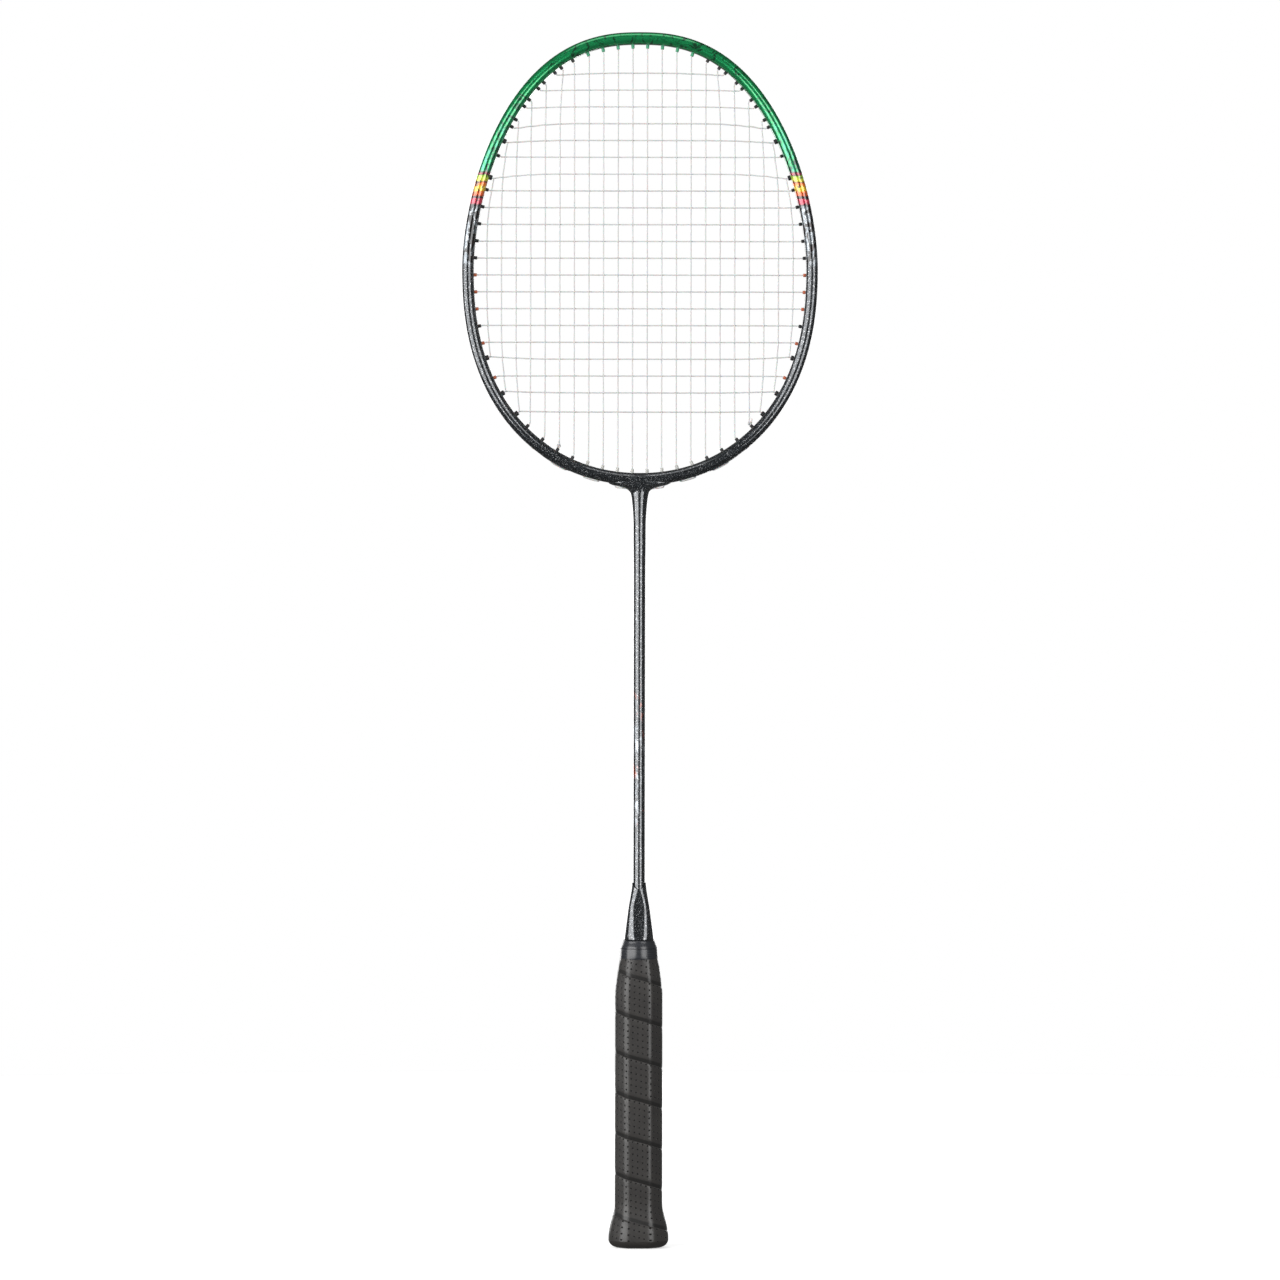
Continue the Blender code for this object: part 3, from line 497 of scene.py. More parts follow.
def main_path():
    """The mains as one string: up and down from left to right, with a tail at each end."""
    points, up = [], True
    for k, number in enumerate(MAIN_NUMBERS):
        (u_top, lane_top), (u_foot, lane_foot) = ENDS["top", number], ENDS["bottom", number]
        top, foot = on_hoop(u_top, BEND, lane_top), on_hoop(u_foot, BEND, lane_foot)
        places = [(Vector((x, 0, z)), side) for _, main, x, z, side in MET if main == k]
        run = woven_run(top, foot, places, -1)
        points += run[::-1] if up else run
        if k + 1 < len(MAIN_NUMBERS):
            end = "top" if up else "bottom"
            here, there = ENDS[end, number], ENDS[end, MAIN_NUMBERS[k + 1]]
            u_there = there[0]
            if end == "top" and here[0] > HALF_HOOP > u_there:
                u_there += 2 * HALF_HOOP
            points += loop_in_groove(here[0], u_there, here[1], there[1], -LOOP_LANE)
        up = not up
    head = tail(ENDS["bottom", MAIN_NUMBERS[0]], -LOOP_LANE, -1)[::-1]
    foot = tail(ENDS["bottom", MAIN_NUMBERS[-1]], -LOOP_LANE, 1)
    return head + points + foot


def tail(end, lane, way):
    """Short run in the groove towards the hole where a string is tied off."""
    return loop_in_groove(end[0], end[0] + way * 11 * MM, end[1], lane, lane)[:-1]


def cross_path():
    """The crosses as one string: side to side from the crown down, with a tail at each end."""
    points = []
    for number in range(1, CROSSES + 1):
        (u_right, lane), (u_left, _) = ENDS["cross", number], ENDS["cross", -number]
        right, left = on_hoop(u_right, BEND, lane), on_hoop(u_left, BEND, lane)
        places = [(Vector((x, 0, z)), side) for cross, _, x, z, side in MET if cross == number][::-1]
        run = woven_run(right, left, places, 1)
        side = -1 if number % 2 else 1
        points += run if side < 0 else run[::-1]
        if number < CROSSES:
            here, there = ENDS["cross", side * number], ENDS["cross", side * (number + 1)]
            points += loop_in_groove(here[0], there[0], here[1], there[1], LOOP_LANE)
    head = tail(ENDS["cross", 1], LOOP_LANE, -1)[::-1]
    foot = tail(ENDS["cross", -CROSSES], LOOP_LANE, -1)
    return head + points + foot


def tie_knot(number, lean):
    """Small overhand knot where a string is tied off against a throat grommet."""
    mouth = on_hoop(ENDS["bottom", number][0], BEND - 0.5 * MM)
    path, steps = [], 48
    for k in range(steps + 1):
        t = 2 * math.pi * k / steps
        r = 0.62 * MM * (2 + math.cos(3 * t)) / 2
        knot = Vector((r * math.cos(2 * t) + lean, 0.75 * MM * math.sin(3 * t), r * math.sin(2 * t)))
        path.append(mouth + knot)
    path.append(mouth + Vector((lean * 2 + 0.6 * MM, -0.4 * MM, 2.6 * MM)))
    return path


def make_strings(material):
    # each string with its knot: the main it is tied off at, and which way the knot leans
    for kind, path, at, lean in (("main", main_path(), -6, -0.6 * MM), ("cross", cross_path(), 8, 0.6 * MM)):
        name = f"{kind}_string_woven"
        mesh = cord_mesh(name, [rounded(path, 0.8 * MM), tie_knot(at, lean)])
        piece(name, mesh, material, [f"{kind}_string"])


# ---------------------------------------------------------------- T joint, shaft and cone

def make_t_joint(material):
    """Neck that flares into a shallow sleeve round the foot of the hoop, moulded in one."""
    # width, depth, height
    levels = spline_through([
        (7.1, 7.1, 392.9), (7.12, 7.12, 399.0), (7.35, 7.3, 405.0), (8.3, 8.1, 411.5), (9.2, 8.9, 415.5),
        (9.9, 9.4, 417.6), (10.9, 9.7, 419.6), (12.9, 9.9, 420.9), (17.0, 10.1, 421.9), (23.5, 10.3, 422.8),
        (30.0, 10.45, 423.6), (34.5, 10.55, 424.7), (35.0, 10.5, 426.0), (34.0, 10.1, 427.6),
        (32.0, 9.2, 429.0)], 4)
    count = 72

    def place(k, i):
        wide, deep, z = levels[k] * MM
        power = 2 / (2.0 + 0.7 * ease(z, 419 * MM, 425 * MM))
        turn = 2 * math.pi * (i + 0.5) / count
        c, s = math.cos(turn), math.sin(turn)
        x = wide / 2 * math.copysign(abs(c) ** power, c)
        return Vector((x, deep / 2 * math.copysign(abs(s) ** power, s), z))

    bm = bmesh.new()
    draw_along(bm, len(levels), count, place)
    mesh = to_mesh(bm, "t_joint_moulded", 60)
    return piece("t_joint_moulded", mesh, material, ["t_joint"])


def make_shaft(material):
    """Turned tube, a little wider towards the joint, and running on inside it."""
    heights = [SHAFT_FOOT_Z] + [200.0 + 17.4 * k for k in range(11)] + [383.0, 388.0, 392.85, 395.0]
    count = 48

    def place(k, i):
        z = heights[k]
        r = SHAFT_RADIUS + SHAFT_FLARE * min(1.0, max(0.0, (z - SHAFT_FLARE_Z) / SHAFT_FLARE_RUN))
        turn = 2 * math.pi * (i + 0.5) / count
        return Vector((r * MM * math.cos(turn), r * MM * math.sin(turn), z * MM))

    bm = bmesh.new()
    draw_along(bm, len(heights), count, place)
    return piece("shaft_tube", to_mesh(bm, "shaft_tube"), material, ["shaft"])


def make_cone(material):
    """Cone with four soft flats that fade out below its round, scalloped mouth."""
    # half-width, half-width of a flat, height
    outside = np.array(spline_through([
        (8.0, 0.8, 160.4), (8.1, 0.8, 169.8), (8.4, 0.9, 170.6), (8.22, 1.6, 172.3), (7.9, 2.1, 175.0),
        (7.2, 2.35, 180.0), (6.5, 2.6, 185.0), (5.75, 2.5, 190.0), (5.05, 1.4, 194.5), (4.5, 0.4, 198.0),
        (4.15, 0.0, 200.5), (3.85, 0.0, 202.6)], 4)) * MM
    # distance in from the outside, and above it, round the mouth's lip and down its bore
    lip = [(0.0, 0.0), (0.07 * MM, 0.12 * MM), (0.22 * MM, 0.16 * MM), (1.0, 0.05 * MM), (1.0, -4.0 * MM)]
    heights = list(outside[:, 2]) + [outside[-1, 2]] * (len(lip) - 1)
    count = 96

    def place(k, i):
        turn = 2 * math.pi * (i + 0.5) / count
        c, s = math.cos(turn), math.sin(turn)
        # the mouth dips front and back, and every ring below it dips a little less
        lift = min(1.0, max(0.0, (heights[k] - NOTCH_FOOT_Z) / NOTCH_RUN))
        z = heights[k] - NOTCH_DEPTH * abs(s) ** 1.6 * lift ** 2
        r, flat = (np.interp(z, outside[:, 2], outside[:, column]) for column in (0, 1))
        flat = max(0.0, flat)
        inwards, up = lip[max(0, k - len(outside) + 1)]
        curve = max(CONE_BORE, r - inwards) - flat
        return Vector((math.copysign(flat, c) + curve * c, math.copysign(flat, s) + curve * s, z + up))

    bm = bmesh.new()
    draw_along(bm, len(heights), count, place)
    mesh = to_mesh(bm, "cone_faceted", 40)
    return piece("cone_faceted", mesh, material, ["handle_cone"])


# ---------------------------------------------------------------- handle

def grip_width_at(z):
    """The wrapped handle's width: flared over the butt, even, then tapered up to the tape."""
    if z <= FLARE_START_Z:
        t = min(1.0, max(0.0, (FLARE_START_Z - z) / (FLARE_START_Z - FLARE_Z))) ** 0.85
        return GRIP_WIDTH + (FLARE_WIDTH - GRIP_WIDTH) * (0.25 * t + 0.75 * t * t * (3 - 2 * t))
    if z >= TAPER_FOOT_Z:
        t = (z - TAPER_FOOT_Z) / (GRIP_TOP_Z - TAPER_FOOT_Z)
        return GRIP_WIDTH + (TAPER_TOP_WIDTH - GRIP_WIDTH) * t
    return GRIP_WIDTH


def grip_corners():
    wide, deep = GRIP_WIDTH / 2, GRIP_DEPTH / 2
    flat, side = GRIP_FLAT / 2, GRIP_SIDE_FLAT / 2
    return [Vector(c) for c in ((wide, -side), (wide, side), (flat, deep), (-flat, deep), (-wide, side),
                                (-wide, -side), (-flat, -deep), (flat, -deep))]


def grip_outline(count):
    """Even points round the straight grip's octagon, corners rounded by the wrap; with outward normals."""
    dense = []
    corners = grip_corners()
    for k, corner in enumerate(corners):
        before, after = corners[k - 1], corners[(k + 1) % len(corners)]
        p = corner + (before - corner).normalized() * GRIP_ROUNDING
        q = corner + (after - corner).normalized() * GRIP_ROUNDING
        dense += [p.lerp(corner, t).lerp(corner.lerp(q, t), t) for t in (0, 0.2, 0.4, 0.6, 0.8, 1.0)]
    loop = np.array([tuple(p) for p in dense + dense[:1]])
    length = np.concatenate(([0.0], np.cumsum(np.hypot(*np.diff(loop, axis=0).T))))
    at = np.linspace(0, length[-1], count, endpoint=False)
    x, y = np.interp(at, length, loop[:, 0]), np.interp(at, length, loop[:, 1])
    ahead_x, ahead_y = np.roll(x, -1) - np.roll(x, 1), np.roll(y, -1) - np.roll(y, 1)
    size = np.hypot(ahead_x, ahead_y)
    return list(zip(x, y, ahead_y / size, -ahead_x / size)), float(length[-1])


ROUND_COUNT = 96
GRIP_OUTLINE, GRIP_GIRTH = grip_outline(ROUND_COUNT)


def on_grip(i, z, out):
    """Point on the grip: outline point i at height z, out from the surface; round by the top of the tape."""
    x, y, nx, ny = GRIP_OUTLINE[i % ROUND_COUNT]
    grow = (grip_width_at(z) - GRIP_WIDTH) / 2
    octagon = Vector((x + (grow + out) * nx, y + (grow + out) * ny))
    t = max(0.0, (z - TAPER_FOOT_Z) / (TAPE_TOP_Z - TAPER_FOOT_Z)) ** 1.5
    if t > 0:
        circle = octagon.normalized() * (grip_width_at(z) / 2 + out)
        octagon = octagon.lerp(circle, min(1.0, t))
    return Vector((octagon.x, octagon.y, z))


def make_grip_wrap(material):
    """One cushioned ribbon wound up the handle, each turn lapping the last, trimmed level at both ends."""
    # the ribbon's section: shares of the pitch up the handle, and mm out from the even surface
    across = [(-0.06, -1.45), (-0.05, -1.0), (-0.012, -0.50), (0.0, -0.42), (0.012, -0.37), (0.05, -0.26),
              (0.10, -0.11), (0.13, -0.03), (0.17, 0.0), (0.3, 0.0), (0.45, 0.0), (0.6, 0.0), (0.75, 0.0),
              (0.90, 0.0), (0.955, -0.02), (0.98, -0.09), (0.995, -0.24), (1.003, -0.45), (1.008, -0.9),
              (1.008, -1.45), (0.7, -1.45), (0.3, -1.45)]
    turns = math.ceil((GRIP_TOP_Z - GRIP_FOOT_Z) / WRAP_PITCH) + 2
    stations = turns * ROUND_COUNT
    base = GRIP_FOOT_Z - 1.6 * WRAP_PITCH

    def place(k, i):
        w, out = across[i]
        z = base + WRAP_PITCH * (k / ROUND_COUNT + w)
        tuck = TUCK_DEPTH * ease(z, TUCK_Z, GRIP_TOP_Z)
        spot = on_grip(-k - int(WRAP_PHASE * ROUND_COUNT), z, (out - tuck) * MM)
        return spot, k / ROUND_COUNT * GRIP_GIRTH / MM, w * WRAP_PITCH / MM

    bm = bmesh.new()
    draw_along(bm, stations, len(across), place, marks=("along", "across"))
    for height, up in ((GRIP_FOOT_Z, -1), (GRIP_TOP_Z, 1)):
        cut = bmesh.ops.bisect_plane(bm, geom=bm.verts[:] + bm.edges[:] + bm.faces[:], dist=0.001 * MM,
                                     plane_co=(0, 0, height), plane_no=(0, 0, up), clear_outer=True)
        rim = [g for g in cut["geom_cut"] if isinstance(g, bmesh.types.BMEdge) and g.is_boundary]
        bmesh.ops.holes_fill(bm, edges=rim)
    return piece("grip_wound", to_mesh(bm, "grip_wound", 60), material, ["grip_wrap"])


def make_finishing_tape(material):
    """Two level turns of tape over the end of the wrap and the foot of the cone."""
    # height and half-width in mm, from the hidden lower edge up over the two turns
    path = [(160.2, 10.0), (160.3, 10.55), (160.7, 10.62), (163.0, 10.45), (165.6, 10.36), (165.95, 10.28),
            (166.1, 9.98), (166.25, 10.25), (166.7, 10.2), (167.5, 9.98), (168.5, 9.52), (169.4, 9.14),
            (170.1, 8.95), (170.4, 8.85), (170.5, 8.7), (170.45, 8.4)]

    def place(k, i):
        z, r = path[k]
        spot = on_grip(i, z * MM, 0.0).xy
        # at its lower edge the tape follows the wrap's corners
        follow = (1 - ease(z, 156.0, 162.0)) * (spot.length - 10.9 * MM)
        spot = spot.normalized() * (r * MM + follow)
        return Vector((spot.x, spot.y, z * MM))

    bm = bmesh.new()
    draw_along(bm, len(path), ROUND_COUNT, place)
    return piece("tape_wound", to_mesh(bm, "tape_wound", 50), material, ["finishing_tape"])


def make_butt_cap(material):
    """Rounded foot of the handle below the wrap, dished in the middle of its flat end."""
    # mm out from the wrap's foot, height in mm, and share of that size
    rings = [(-0.9, 5.2, 1.0), (-0.06, 4.45, 1.0), (-0.1, 4.1, 1.0), (-0.45, 3.1, 1.0), (-1.25, 1.95, 1.0),
             (-2.6, 1.0, 1.0), (-4.4, 0.35, 1.0), (-6.2, 0.05, 1.0), (-7.4, 0.0, 1.0), (-7.6, 0.0, 0.96),
             (-7.6, 0.25, 0.93), (-7.6, 0.35, 0.90), (-7.6, 0.35, 0.5)]

    def place(k, i):
        out, z, share = rings[k]
        spot = on_grip(i, GRIP_FOOT_Z, out * MM)
        return Vector((spot.x * share, spot.y * share, z * MM))

    bm = bmesh.new()
    draw_along(bm, len(rings), ROUND_COUNT, place)
    mesh = to_mesh(bm, "butt_cap_moulded", 40)
    return piece("butt_cap_moulded", mesh, material, ["butt_cap"])


# ---------------------------------------------------------------- shader nodes

def colour(code):
    """sRGB hex to the linear colour that shaders take."""
    parts = [int(code[k:k + 2], 16) / 255 for k in (1, 3, 5)]
    return tuple(c / 12.92 if c <= 0.04045 else ((c + 0.055) / 1.055) ** 2.4 for c in parts) + (1.0,)


def add(tree, kind, inputs=None, stops=None, **settings):
    """Adds a node with its settings, colour stops and links."""
    made = tree.nodes.new("ShaderNode" + kind)
    for name, value in settings.items():
        setattr(made, name, value)
    for place, tone in stops or []:
        made.color_ramp.elements.new(place).color = colour(tone)
    if stops:
        made.color_ramp.elements.remove(made.color_ramp.elements[0])
        made.color_ramp.elements.remove(made.color_ramp.elements[-1])
    for key, value in (inputs or {}).items():
        if isinstance(value, bpy.types.NodeSocket):
            tree.links.new(value, made.inputs[key])
        else:
            made.inputs[key].default_value = value
    return made


def object_coords(tree):
    return add(tree, "TexCoord").outputs["Object"]


def mapped(tree, place, scale, tilt=0.0):
    """Coordinates turned by tilt about the depth axis, then scaled, so that a pattern leans or stretches."""
    return add(tree, "Mapping", {"Vector": place, "Rotation": (0.0, tilt, 0.0), "Scale": scale}).outputs[0]


def noise(tree, place, size, detail, **more):
    """Noise whose features are about size across."""
    inputs = {"Vector": place, "Scale": 1 / size, "Detail": detail, **more}
    return add(tree, "TexNoise", inputs).outputs["Fac"]


def ramp(tree, value, stops):
    return add(tree, "ValToRGB", {0: value}, stops=stops).outputs["Color"]


def spread(tree, value, low=0.0, high=1.0, first=0.0, last=1.0):
    """Takes value from the range low to high onto the range first to last."""
    return add(tree, "MapRange", {0: value, 1: low, 2: high, 3: first, 4: last}).outputs[0]


def maths(tree, operation, *values):
    return add(tree, "Math", dict(enumerate(values)), operation=operation).outputs[0]


def mix(tree, factor, low, high):
    """Blends two colours; each is a socket or a hex code."""
    low, high = (colour(c) if isinstance(c, str) else c for c in (low, high))
    return add(tree, "Mix", {"Factor": factor, 6: low, 7: high}, data_type="RGBA").outputs[2]


def bump(tree, strength, depth, height, **more):
    return add(tree, "Bump", {"Strength": strength, "Distance": depth, "Height": height, **more}).outputs[0]


def new_material(name, **values):
    material = bpy.data.materials.new(name)
    material.use_nodes = True
    for key, value in values.items():
        material.node_tree.nodes["Principled BSDF"].inputs[key.replace("_", " ")].default_value = value
    return material, material.node_tree


def wire(tree, **sockets):
    """Links sockets to the shader's inputs of those names."""
    for key, socket in sockets.items():
        tree.links.new(socket, tree.nodes["Principled BSDF"].inputs[key.replace("_", " ")])


# ---------------------------------------------------------------- materials

# heights between which one finish gives way to the next
GRAPHITE_TOP_Z = (544.5 * MM, 547.5 * MM)
BANDS_Z = (576.0 * MM, 600.0 * MM)
BANDS_FOOT_Z = (577.5 * MM, 578.5 * MM)
BANDS_TOP_Z = (596.8 * MM, 598.2 * MM)
LOW_CROWN_Z = (640.0 * MM, 600.0 * MM)
SLASHES_FOOT_Z = (228.0 * MM, 240.0 * MM)
SLASHES_TOP_Z = (316.0 * MM, 300.0 * MM)
BAND_WANDER = 2.6 * MM
METALLIC_PAINT, PLAIN_PAINT = 0.75, 0.35

# the grip's holes, in mm on the ribbon: apart along a row, between rows, first row, margins, rim
HOLE_STEP, ROW_STEP, FIRST_ROW = 2.75, 3.4, 4.7
UNPUNCHED_BELOW, UNPUNCHED_ABOVE = 3.2, 22.6
HOLE_RIM = (0.40, 0.54)


def flake_lacquer(name, coat_ior=1.72):
    """Graphite lacquer: blue-black metallic paint with fine silver flakes under a thick clear coat."""
    material, tree = new_material(name, Metallic=METALLIC_PAINT, Coat_Weight=1.0, Coat_Roughness=0.08,
                                  Coat_IOR=coat_ior)
    place = object_coords(tree)
    # flakes 0.2 mm across: coarser than real ones, so that they show at arm's length
    cells = add(tree, "TexVoronoi", {"Vector": place, "Scale": 1 / (0.2 * MM), "Randomness": 1.0})
    grain = add(tree, "SeparateColor", {0: cells.outputs["Color"]}).outputs
    flakes = ramp(tree, grain[0], [(0.0, "#0C0E10"), (0.50, "#171A1E"), (0.76, "#292E33"), (0.89, "#4C5359"),
                                   (0.96, "#80878E"), (1.0, "#B6BCC1")])
    dust = noise(tree, place, 0.9 * MM, 2.0)
    wire(tree, Base_Color=flakes, Roughness=spread(tree, grain[2], first=0.18, last=0.32),
         Normal=bump(tree, 0.06, 0.04 * MM, dust))
    return material, tree, place, grain, flakes


def crowned_lacquer():
    """Head finish: green metallic crown, bands of lime, amber and red, broken silver, then graphite."""
    material, tree, place, grain, flakes = flake_lacquer("head_lacquer_crowned", 1.6)
    z = add(tree, "SeparateXYZ", {0: place}).outputs["Z"]
    ragged = noise(tree, place, 2.2 * MM, 3.0, Roughness=0.6)
    level = maths(tree, "MULTIPLY_ADD", maths(tree, "SUBTRACT", ragged, 0.5), BAND_WANDER, z)
    bands = ramp(tree, spread(tree, level, *BANDS_Z), [
        (0.0, "#101113"), (0.12, "#141416"), (0.16, "#B32F48"), (0.26, "#CF3B52"), (0.28, "#1A1213"),
        (0.32, "#2A1512"), (0.35, "#D2531F"), (0.43, "#DE6B22"), (0.46, "#E3B92C"), (0.54, "#E8C534"),
        (0.57, "#E58A24"), (0.63, "#DE6420"), (0.655, "#5A1F1A"), (0.68, "#C9B833"), (0.72, "#CFDC45"),
        (0.79, "#9CCB40"), (0.82, "#4A1C22"), (0.86, "#B23650"), (0.885, "#14302A"), (1.0, "#0A5A3E")])
    # dark slashes that break up the bands
    slant = mapped(tree, place, (1.0, 0.6, 0.55), 0.5)
    broken = noise(tree, slant, 1.7 * MM, 2.0, Roughness=0.5, Distortion=0.6)
    banded = mix(tree, spread(tree, broken, 0.55, 0.60, 0.0, 0.85), bands, "#101113")
    # silver patches with pale rims on black, down both shoulders
    patches = noise(tree, slant, 3.4 * MM, 3.0, Roughness=0.55, Distortion=0.9)
    silver = ramp(tree, patches, [
        (0.0, "#2B1416"), (0.36, "#1B0F10"), (0.40, "#0D0E10"), (0.505, "#101214"), (0.512, "#A0A5A9"),
        (0.525, "#A9AEB2"), (0.537, "#4E555B"), (0.62, "#7A8187"), (1.0, "#62696F")])
    shoulder = spread(tree, level, *BANDS_FOOT_Z)
    upper = mix(tree, shoulder, silver, banded)
    # crown: smoky swirls near the top, blue-green grain towards its lower ends
    smoke = noise(tree, place, 7.0 * MM, 4.0, Roughness=0.65, Distortion=2.6)
    green = mix(tree, spread(tree, smoke, 0.53, 0.60, 0.0, 0.85), "#089A57", "#03301F")
    low_crown = spread(tree, z, *LOW_CROWN_Z)
    brushed = noise(tree, mapped(tree, place, (1.0, 1.0, 0.3), 0.35), 1.5 * MM, 3.0)
    for low, high, tint in ((0.50, 0.60, "#2E8F7B"), (0.47, 0.40, "#082C2B")):
        streaks = maths(tree, "MULTIPLY", low_crown, spread(tree, brushed, low, high))
        green = mix(tree, streaks, green, tint)
    crown = spread(tree, level, *BANDS_TOP_Z)
    painted = mix(tree, crown, upper, green)
    # the flakes glint through the colours as lighter and darker grains
    glint = spread(tree, grain[1], first=0.86, last=1.14)
    lit = add(tree, "HueSaturation", {"Value": glint, "Color": painted}).outputs[0]
    # the coloured bands are plainer paint than the metallic crown above and the graphite below
    plain = maths(tree, "SUBTRACT", shoulder, crown)
    wire(tree, Base_Color=mix(tree, spread(tree, level, *GRAPHITE_TOP_Z), flakes, lit),
         Metallic=spread(tree, plain, first=METALLIC_PAINT, last=PLAIN_PAINT))
    return material


def slashed_lacquer():
    """The graphite lacquer of the shaft, with slanting silver and ember slashes brushed round its middle."""
    material, tree, place, _, flakes = flake_lacquer("graphite_lacquer_slashed")
    z = add(tree, "SeparateXYZ", {0: place}).outputs["Z"]
    slant = mapped(tree, place, (1.0, 0.4, 0.28), -0.5)
    slashes = noise(tree, slant, 2.4 * MM, 3.0, Roughness=0.6, Distortion=1.0)
    zone = maths(tree, "MULTIPLY", spread(tree, z, *SLASHES_FOOT_Z), spread(tree, z, *SLASHES_TOP_Z))
    mask = maths(tree, "MULTIPLY", zone, spread(tree, slashes, 0.53, 0.575))
    tints = ramp(tree, noise(tree, slant, 7.0 * MM, 1.0), [
        (0.0, "#AEB4B9"), (0.50, "#7C8288"), (0.56, "#9A4326"), (0.60, "#4E5459"), (1.0, "#C2C6CA")])
    wire(tree, Base_Color=mix(tree, mask, flakes, tints))
    return material


def string_nylon():
    """Coated multifilament nylon: off-white, faintly see-through, with a smooth pearly skin."""
    material, tree = new_material("string_nylon_multifilament", Roughness=0.35, IOR=1.53,
                                  Subsurface_Weight=0.25, Subsurface_Scale=0.3 * MM)
    fibre = noise(tree, object_coords(tree), 0.3 * MM, 2.0)
    wire(tree, Base_Color=ramp(tree, fibre, [(0.3, "#C3C3C2"), (0.7, "#CBCBCA")]),
         Normal=bump(tree, 0.1, 0.01 * MM, fibre))
    return material


def grip_polyurethane():
    """Tacky polyurethane cushion grip: satin black, punched with rows of small holes."""
    material, tree = new_material("polyurethane_perforated", IOR=1.48, Sheen_Weight=0.15,
                                  Sheen_Roughness=0.5)
    along, across = (add(tree, "Attribute", attribute_name=name).outputs["Fac"]
                     for name in ("along", "across"))
    # where in its own cell of the pattern each point lies; the rows run square to the handle
    cells = []
    for value, pitch, first in ((along, HOLE_STEP, 0.0), (across, ROW_STEP, FIRST_ROW - ROW_STEP / 2)):
        part = maths(tree, "FRACT", maths(tree, "DIVIDE", maths(tree, "SUBTRACT", value, first), pitch))
        cells.append(maths(tree, "MULTIPLY", maths(tree, "SUBTRACT", part, 0.5), pitch))
    climb = maths(tree, "MULTIPLY_ADD", cells[0], WRAP_PITCH / GRIP_GIRTH, cells[1])
    spot = add(tree, "CombineXYZ", {0: cells[0], 1: climb}).outputs[0]
    away = add(tree, "VectorMath", {0: spot}, operation="LENGTH").outputs["Value"]
    margins = maths(tree, "MULTIPLY", maths(tree, "GREATER_THAN", across, UNPUNCHED_BELOW),
                    maths(tree, "LESS_THAN", across, UNPUNCHED_ABOVE))
    punched = maths(tree, "MULTIPLY", spread(tree, away, *HOLE_RIM, 1.0, 0.0), margins)
    place = object_coords(tree)
    tone = ramp(tree, noise(tree, place, 12 * MM, 3.0), [(0.3, "#302E2D"), (0.7, "#3A3836")])
    # the thinned lower edge of each turn slopes inwards; its shade is painted on as darker colour there
    # (painted shade)
    painted_shade_edge = mix(tree, spread(tree, across, 2.4, 1.9), tone, "#1E1D1C")
    skin = noise(tree, place, 0.5 * MM, 3.0)
    rough_skin = spread(tree, skin, first=0.26, last=0.38)
    rough = add(tree, "Mix", {"Factor": punched, 2: rough_skin, 3: 0.95}).outputs[0]
    pits = bump(tree, 1.0, 0.35 * MM, maths(tree, "MULTIPLY", punched, -1.0))
    # the holes are painted near black: painted shade in the pits, on top of their bump
    wire(tree, Base_Color=mix(tree, punched, painted_shade_edge, "#060505"), Roughness=rough,
         Normal=bump(tree, 0.25, 0.04 * MM, skin, Normal=pits))
    return material


def tape_vinyl():
    """Stretched vinyl tape: slate black and satin, with faint stretch lines round the handle."""
    material, tree = new_material("vinyl_tape", IOR=1.6)
    lines = noise(tree, mapped(tree, object_coords(tree), (0.12, 0.12, 1.0)), 0.9 * MM, 3.0)
    wire(tree, Base_Color=ramp(tree, lines, [(0.3, "#25272B"), (0.7, "#303237")]),
         Roughness=spread(tree, lines, first=0.22, last=0.32), Normal=bump(tree, 0.35, 0.06 * MM, lines))
    return material


def moulded_plastic(name, low, high, rough, **more):
    """Injection-moulded plastic: even colour with a fine spark-eroded skin."""
    material, tree = new_material(name, IOR=1.5, **more)
    grain = noise(tree, object_coords(tree), 0.6 * MM, 2.0)
    wire(tree, Base_Color=ramp(tree, grain, [(0.3, low), (0.7, high)]),
         Roughness=spread(tree, grain, first=rough - 0.05, last=rough + 0.05),
         Normal=bump(tree, 0.15, 0.03 * MM, grain))
    return material


def core_wood():
    """Straight-grained poplar: pale, with darker growth lines along the handle."""
    material, tree = new_material("poplar", Roughness=0.6)
    rings = noise(tree, mapped(tree, object_coords(tree), (1.0, 1.0, 0.06)), 1.6 * MM, 4.0)
    wire(tree, Base_Color=ramp(tree, rings, [(0.35, "#B98F5E"), (0.65, "#DDBD8E")]))
    return material


# ---------------------------------------------------------------- the racket

see_through = {"Subsurface_Weight": 0.2, "Subsurface_Scale": 0.5 * MM}
nylon = {
    "green": moulded_plastic("nylon_green", "#2C8A62", "#3FA277", 0.35, **see_through),
    "black": moulded_plastic("nylon_black", "#131314", "#1E1E20", 0.4),
    "amber": moulded_plastic("nylon_amber", "#B0583A", "#C76E4C", 0.35, **see_through),
    "clear": moulded_plastic("nylon_clear", "#D2D2CC", "#E4E4DF", 0.25, Transmission_Weight=0.45),
}
graphite = flake_lacquer("graphite_lacquer")[0]
make_head_tube(crowned_lacquer())
make_all_strips(nylon)
make_strings(string_nylon())
make_t_joint(graphite)
make_shaft(slashed_lacquer())
make_cone(graphite)
make_grip_wrap(grip_polyurethane())
make_finishing_tape(tape_vinyl())
make_butt_cap(moulded_plastic("cap_rubber", "#32302E", "#393735", 0.36))
core = NODES["handle_core"]
core.data.materials.clear()
core.data.materials.append(core_wood())


# ---------------------------------------------------------------- floor, light and camera

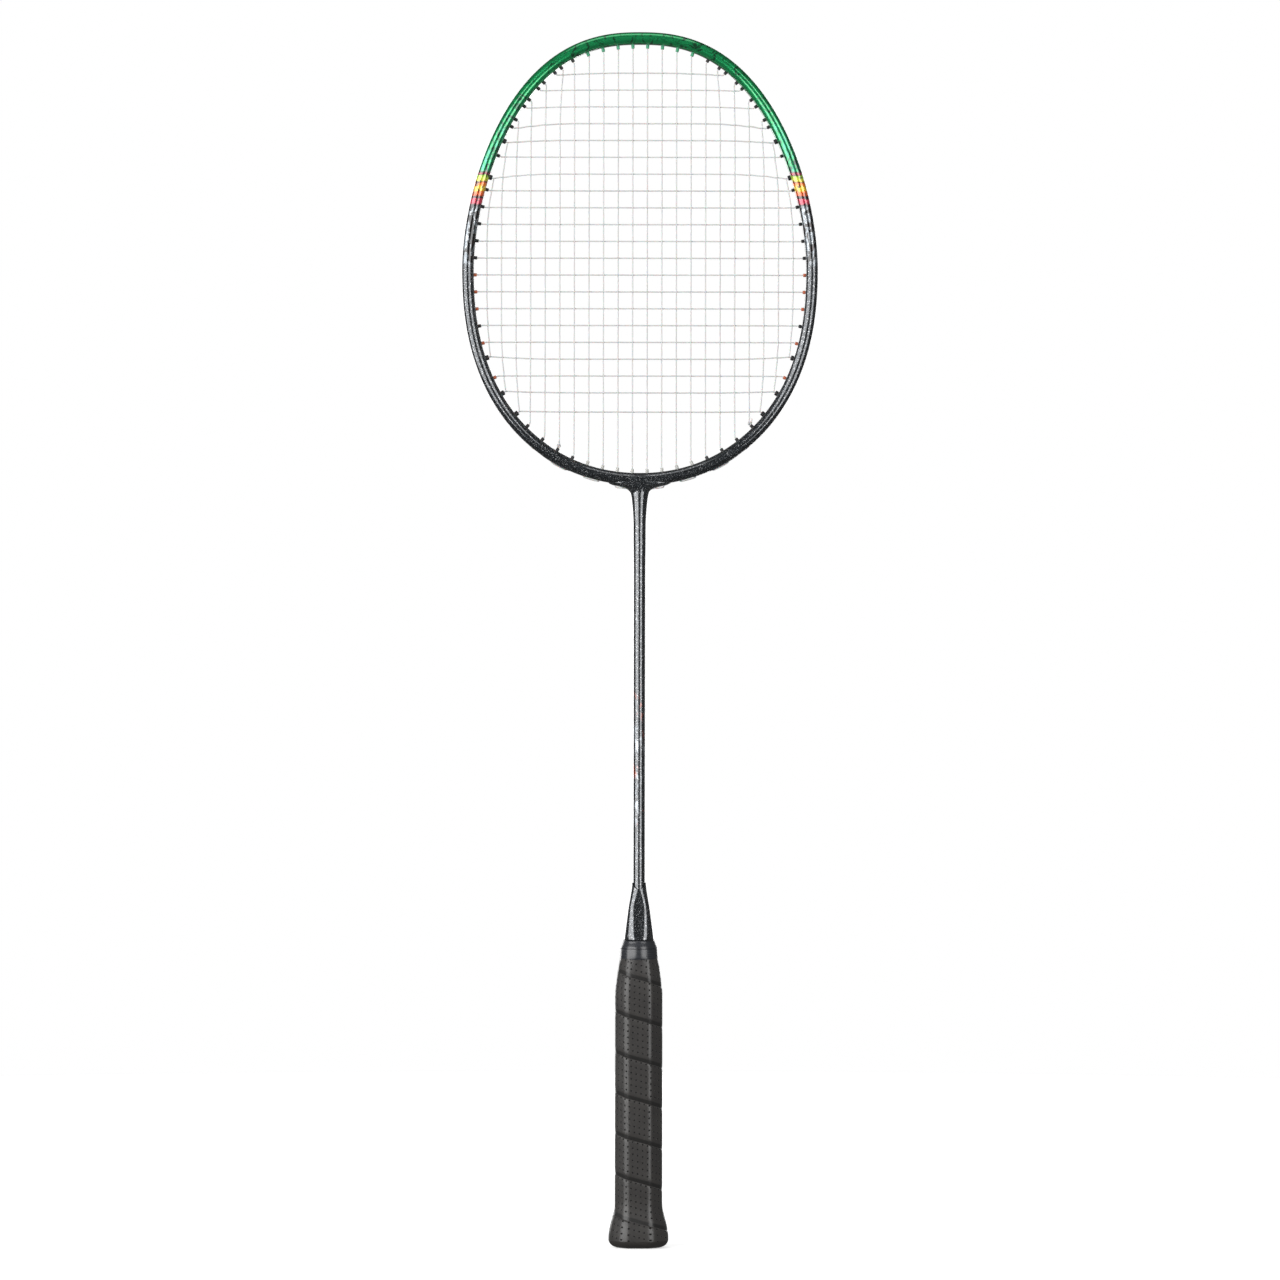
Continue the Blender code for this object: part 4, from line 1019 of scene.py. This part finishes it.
# azimuth from the front, elevation, distance, (width, height), brightness; the two at the front are
# tall and each just wide enough for one streak down a round tube
SOFTBOXES = {
    "softbox_left": (-47.5, 7, 2.0, (2.25, 1.6), 4.5),
    "softbox_right": (32, 7, 2.0, (1.10, 1.6), 4.2),
    "softbox_top": (-8, 68, 1.7, (1.1, 0.8), 1.5),
    "softbox_back_left": (-152, 8, 2.2, (1.2, 1.3), 3.4),
    "softbox_back_right": (165, 8, 2.2, (0.9, 1.3), 3.0),
}
LIGHTS_AIM = Vector((0, 0, 0.36))
AIR_GLOW = 0.12               # how strongly the white surroundings light the racket
FLOOR_GLOW = 0.55
FRAME_WIDTH = 0.7114          # width in metres that the camera sees at the racket
FRAME_MIDDLE = (0.36 * MM, 0.3375)
CAMERA_ROLL = math.radians(-0.092)
LENS, SENSOR = 200, 36


def softbox(name, azimuth, elevation, distance, size, brightness):
    light = bpy.data.lights.new(name, "AREA")
    light.shape, light.size, light.size_y = "RECTANGLE", size[0], size[1]
    light.energy = brightness * math.pi * size[0] * size[1]
    lamp = bpy.data.objects.new(name, light)
    lamp.visible_camera = False
    a, e = math.radians(azimuth), math.radians(elevation)
    way = Vector((math.sin(a) * math.cos(e), -math.cos(a) * math.cos(e), math.sin(e)))
    lamp.location = LIGHTS_AIM + way * distance
    lamp.rotation_euler = (-way).to_track_quat("-Z", "Y").to_euler()
    bpy.context.scene.collection.objects.link(lamp)


def make_studio():
    bm = bmesh.new()
    bmesh.ops.create_circle(bm, cap_ends=True, segments=96, radius=1.6)
    mesh = bpy.data.meshes.new("studio_floor")
    bm.to_mesh(mesh)
    bm.free()
    floor = bpy.data.objects.new("studio_floor", mesh)
    bpy.context.scene.collection.objects.link(floor)
    floor.visible_glossy = floor.visible_diffuse = False
    material, tree = new_material("floor_paper", Roughness=0.9, Emission_Color=colour("#FFFFFF"),
                                  Emission_Strength=FLOOR_GLOW)
    grain = add(tree, "TexNoise", {"Scale": 400.0, "Detail": 2.0}).outputs["Fac"]
    wire(tree, Base_Color=ramp(tree, grain, [(0.0, "#E6E6E4"), (1.0, "#EAEAE8")]))
    mesh.materials.append(material)
    world = bpy.data.worlds.new("studio_air")
    world.use_nodes = True
    bpy.context.scene.world = world
    tree = world.node_tree
    sky = tree.nodes["Background"]
    sky.inputs["Color"].default_value = colour("#FFFFFF")
    seen = add(tree, "LightPath").outputs["Is Camera Ray"]
    tree.links.new(spread(tree, seen, first=AIR_GLOW, last=1.0), sky.inputs["Strength"])
    for name, values in SOFTBOXES.items():
        softbox(name, *values)


def make_camera():
    data = bpy.data.cameras.new("camera")
    data.lens, data.sensor_width = LENS, SENSOR
    data.clip_start, data.clip_end = 0.05, 60
    camera = bpy.data.objects.new("camera", data)
    bpy.context.scene.collection.objects.link(camera)
    camera.location = (FRAME_MIDDLE[0], -FRAME_WIDTH * LENS / SENSOR, FRAME_MIDDLE[1])
    camera.rotation_euler = (math.radians(90), CAMERA_ROLL, 0)
    bpy.context.scene.camera = camera


make_studio()
make_camera()
bpy.context.scene.view_settings.view_transform = "Standard"
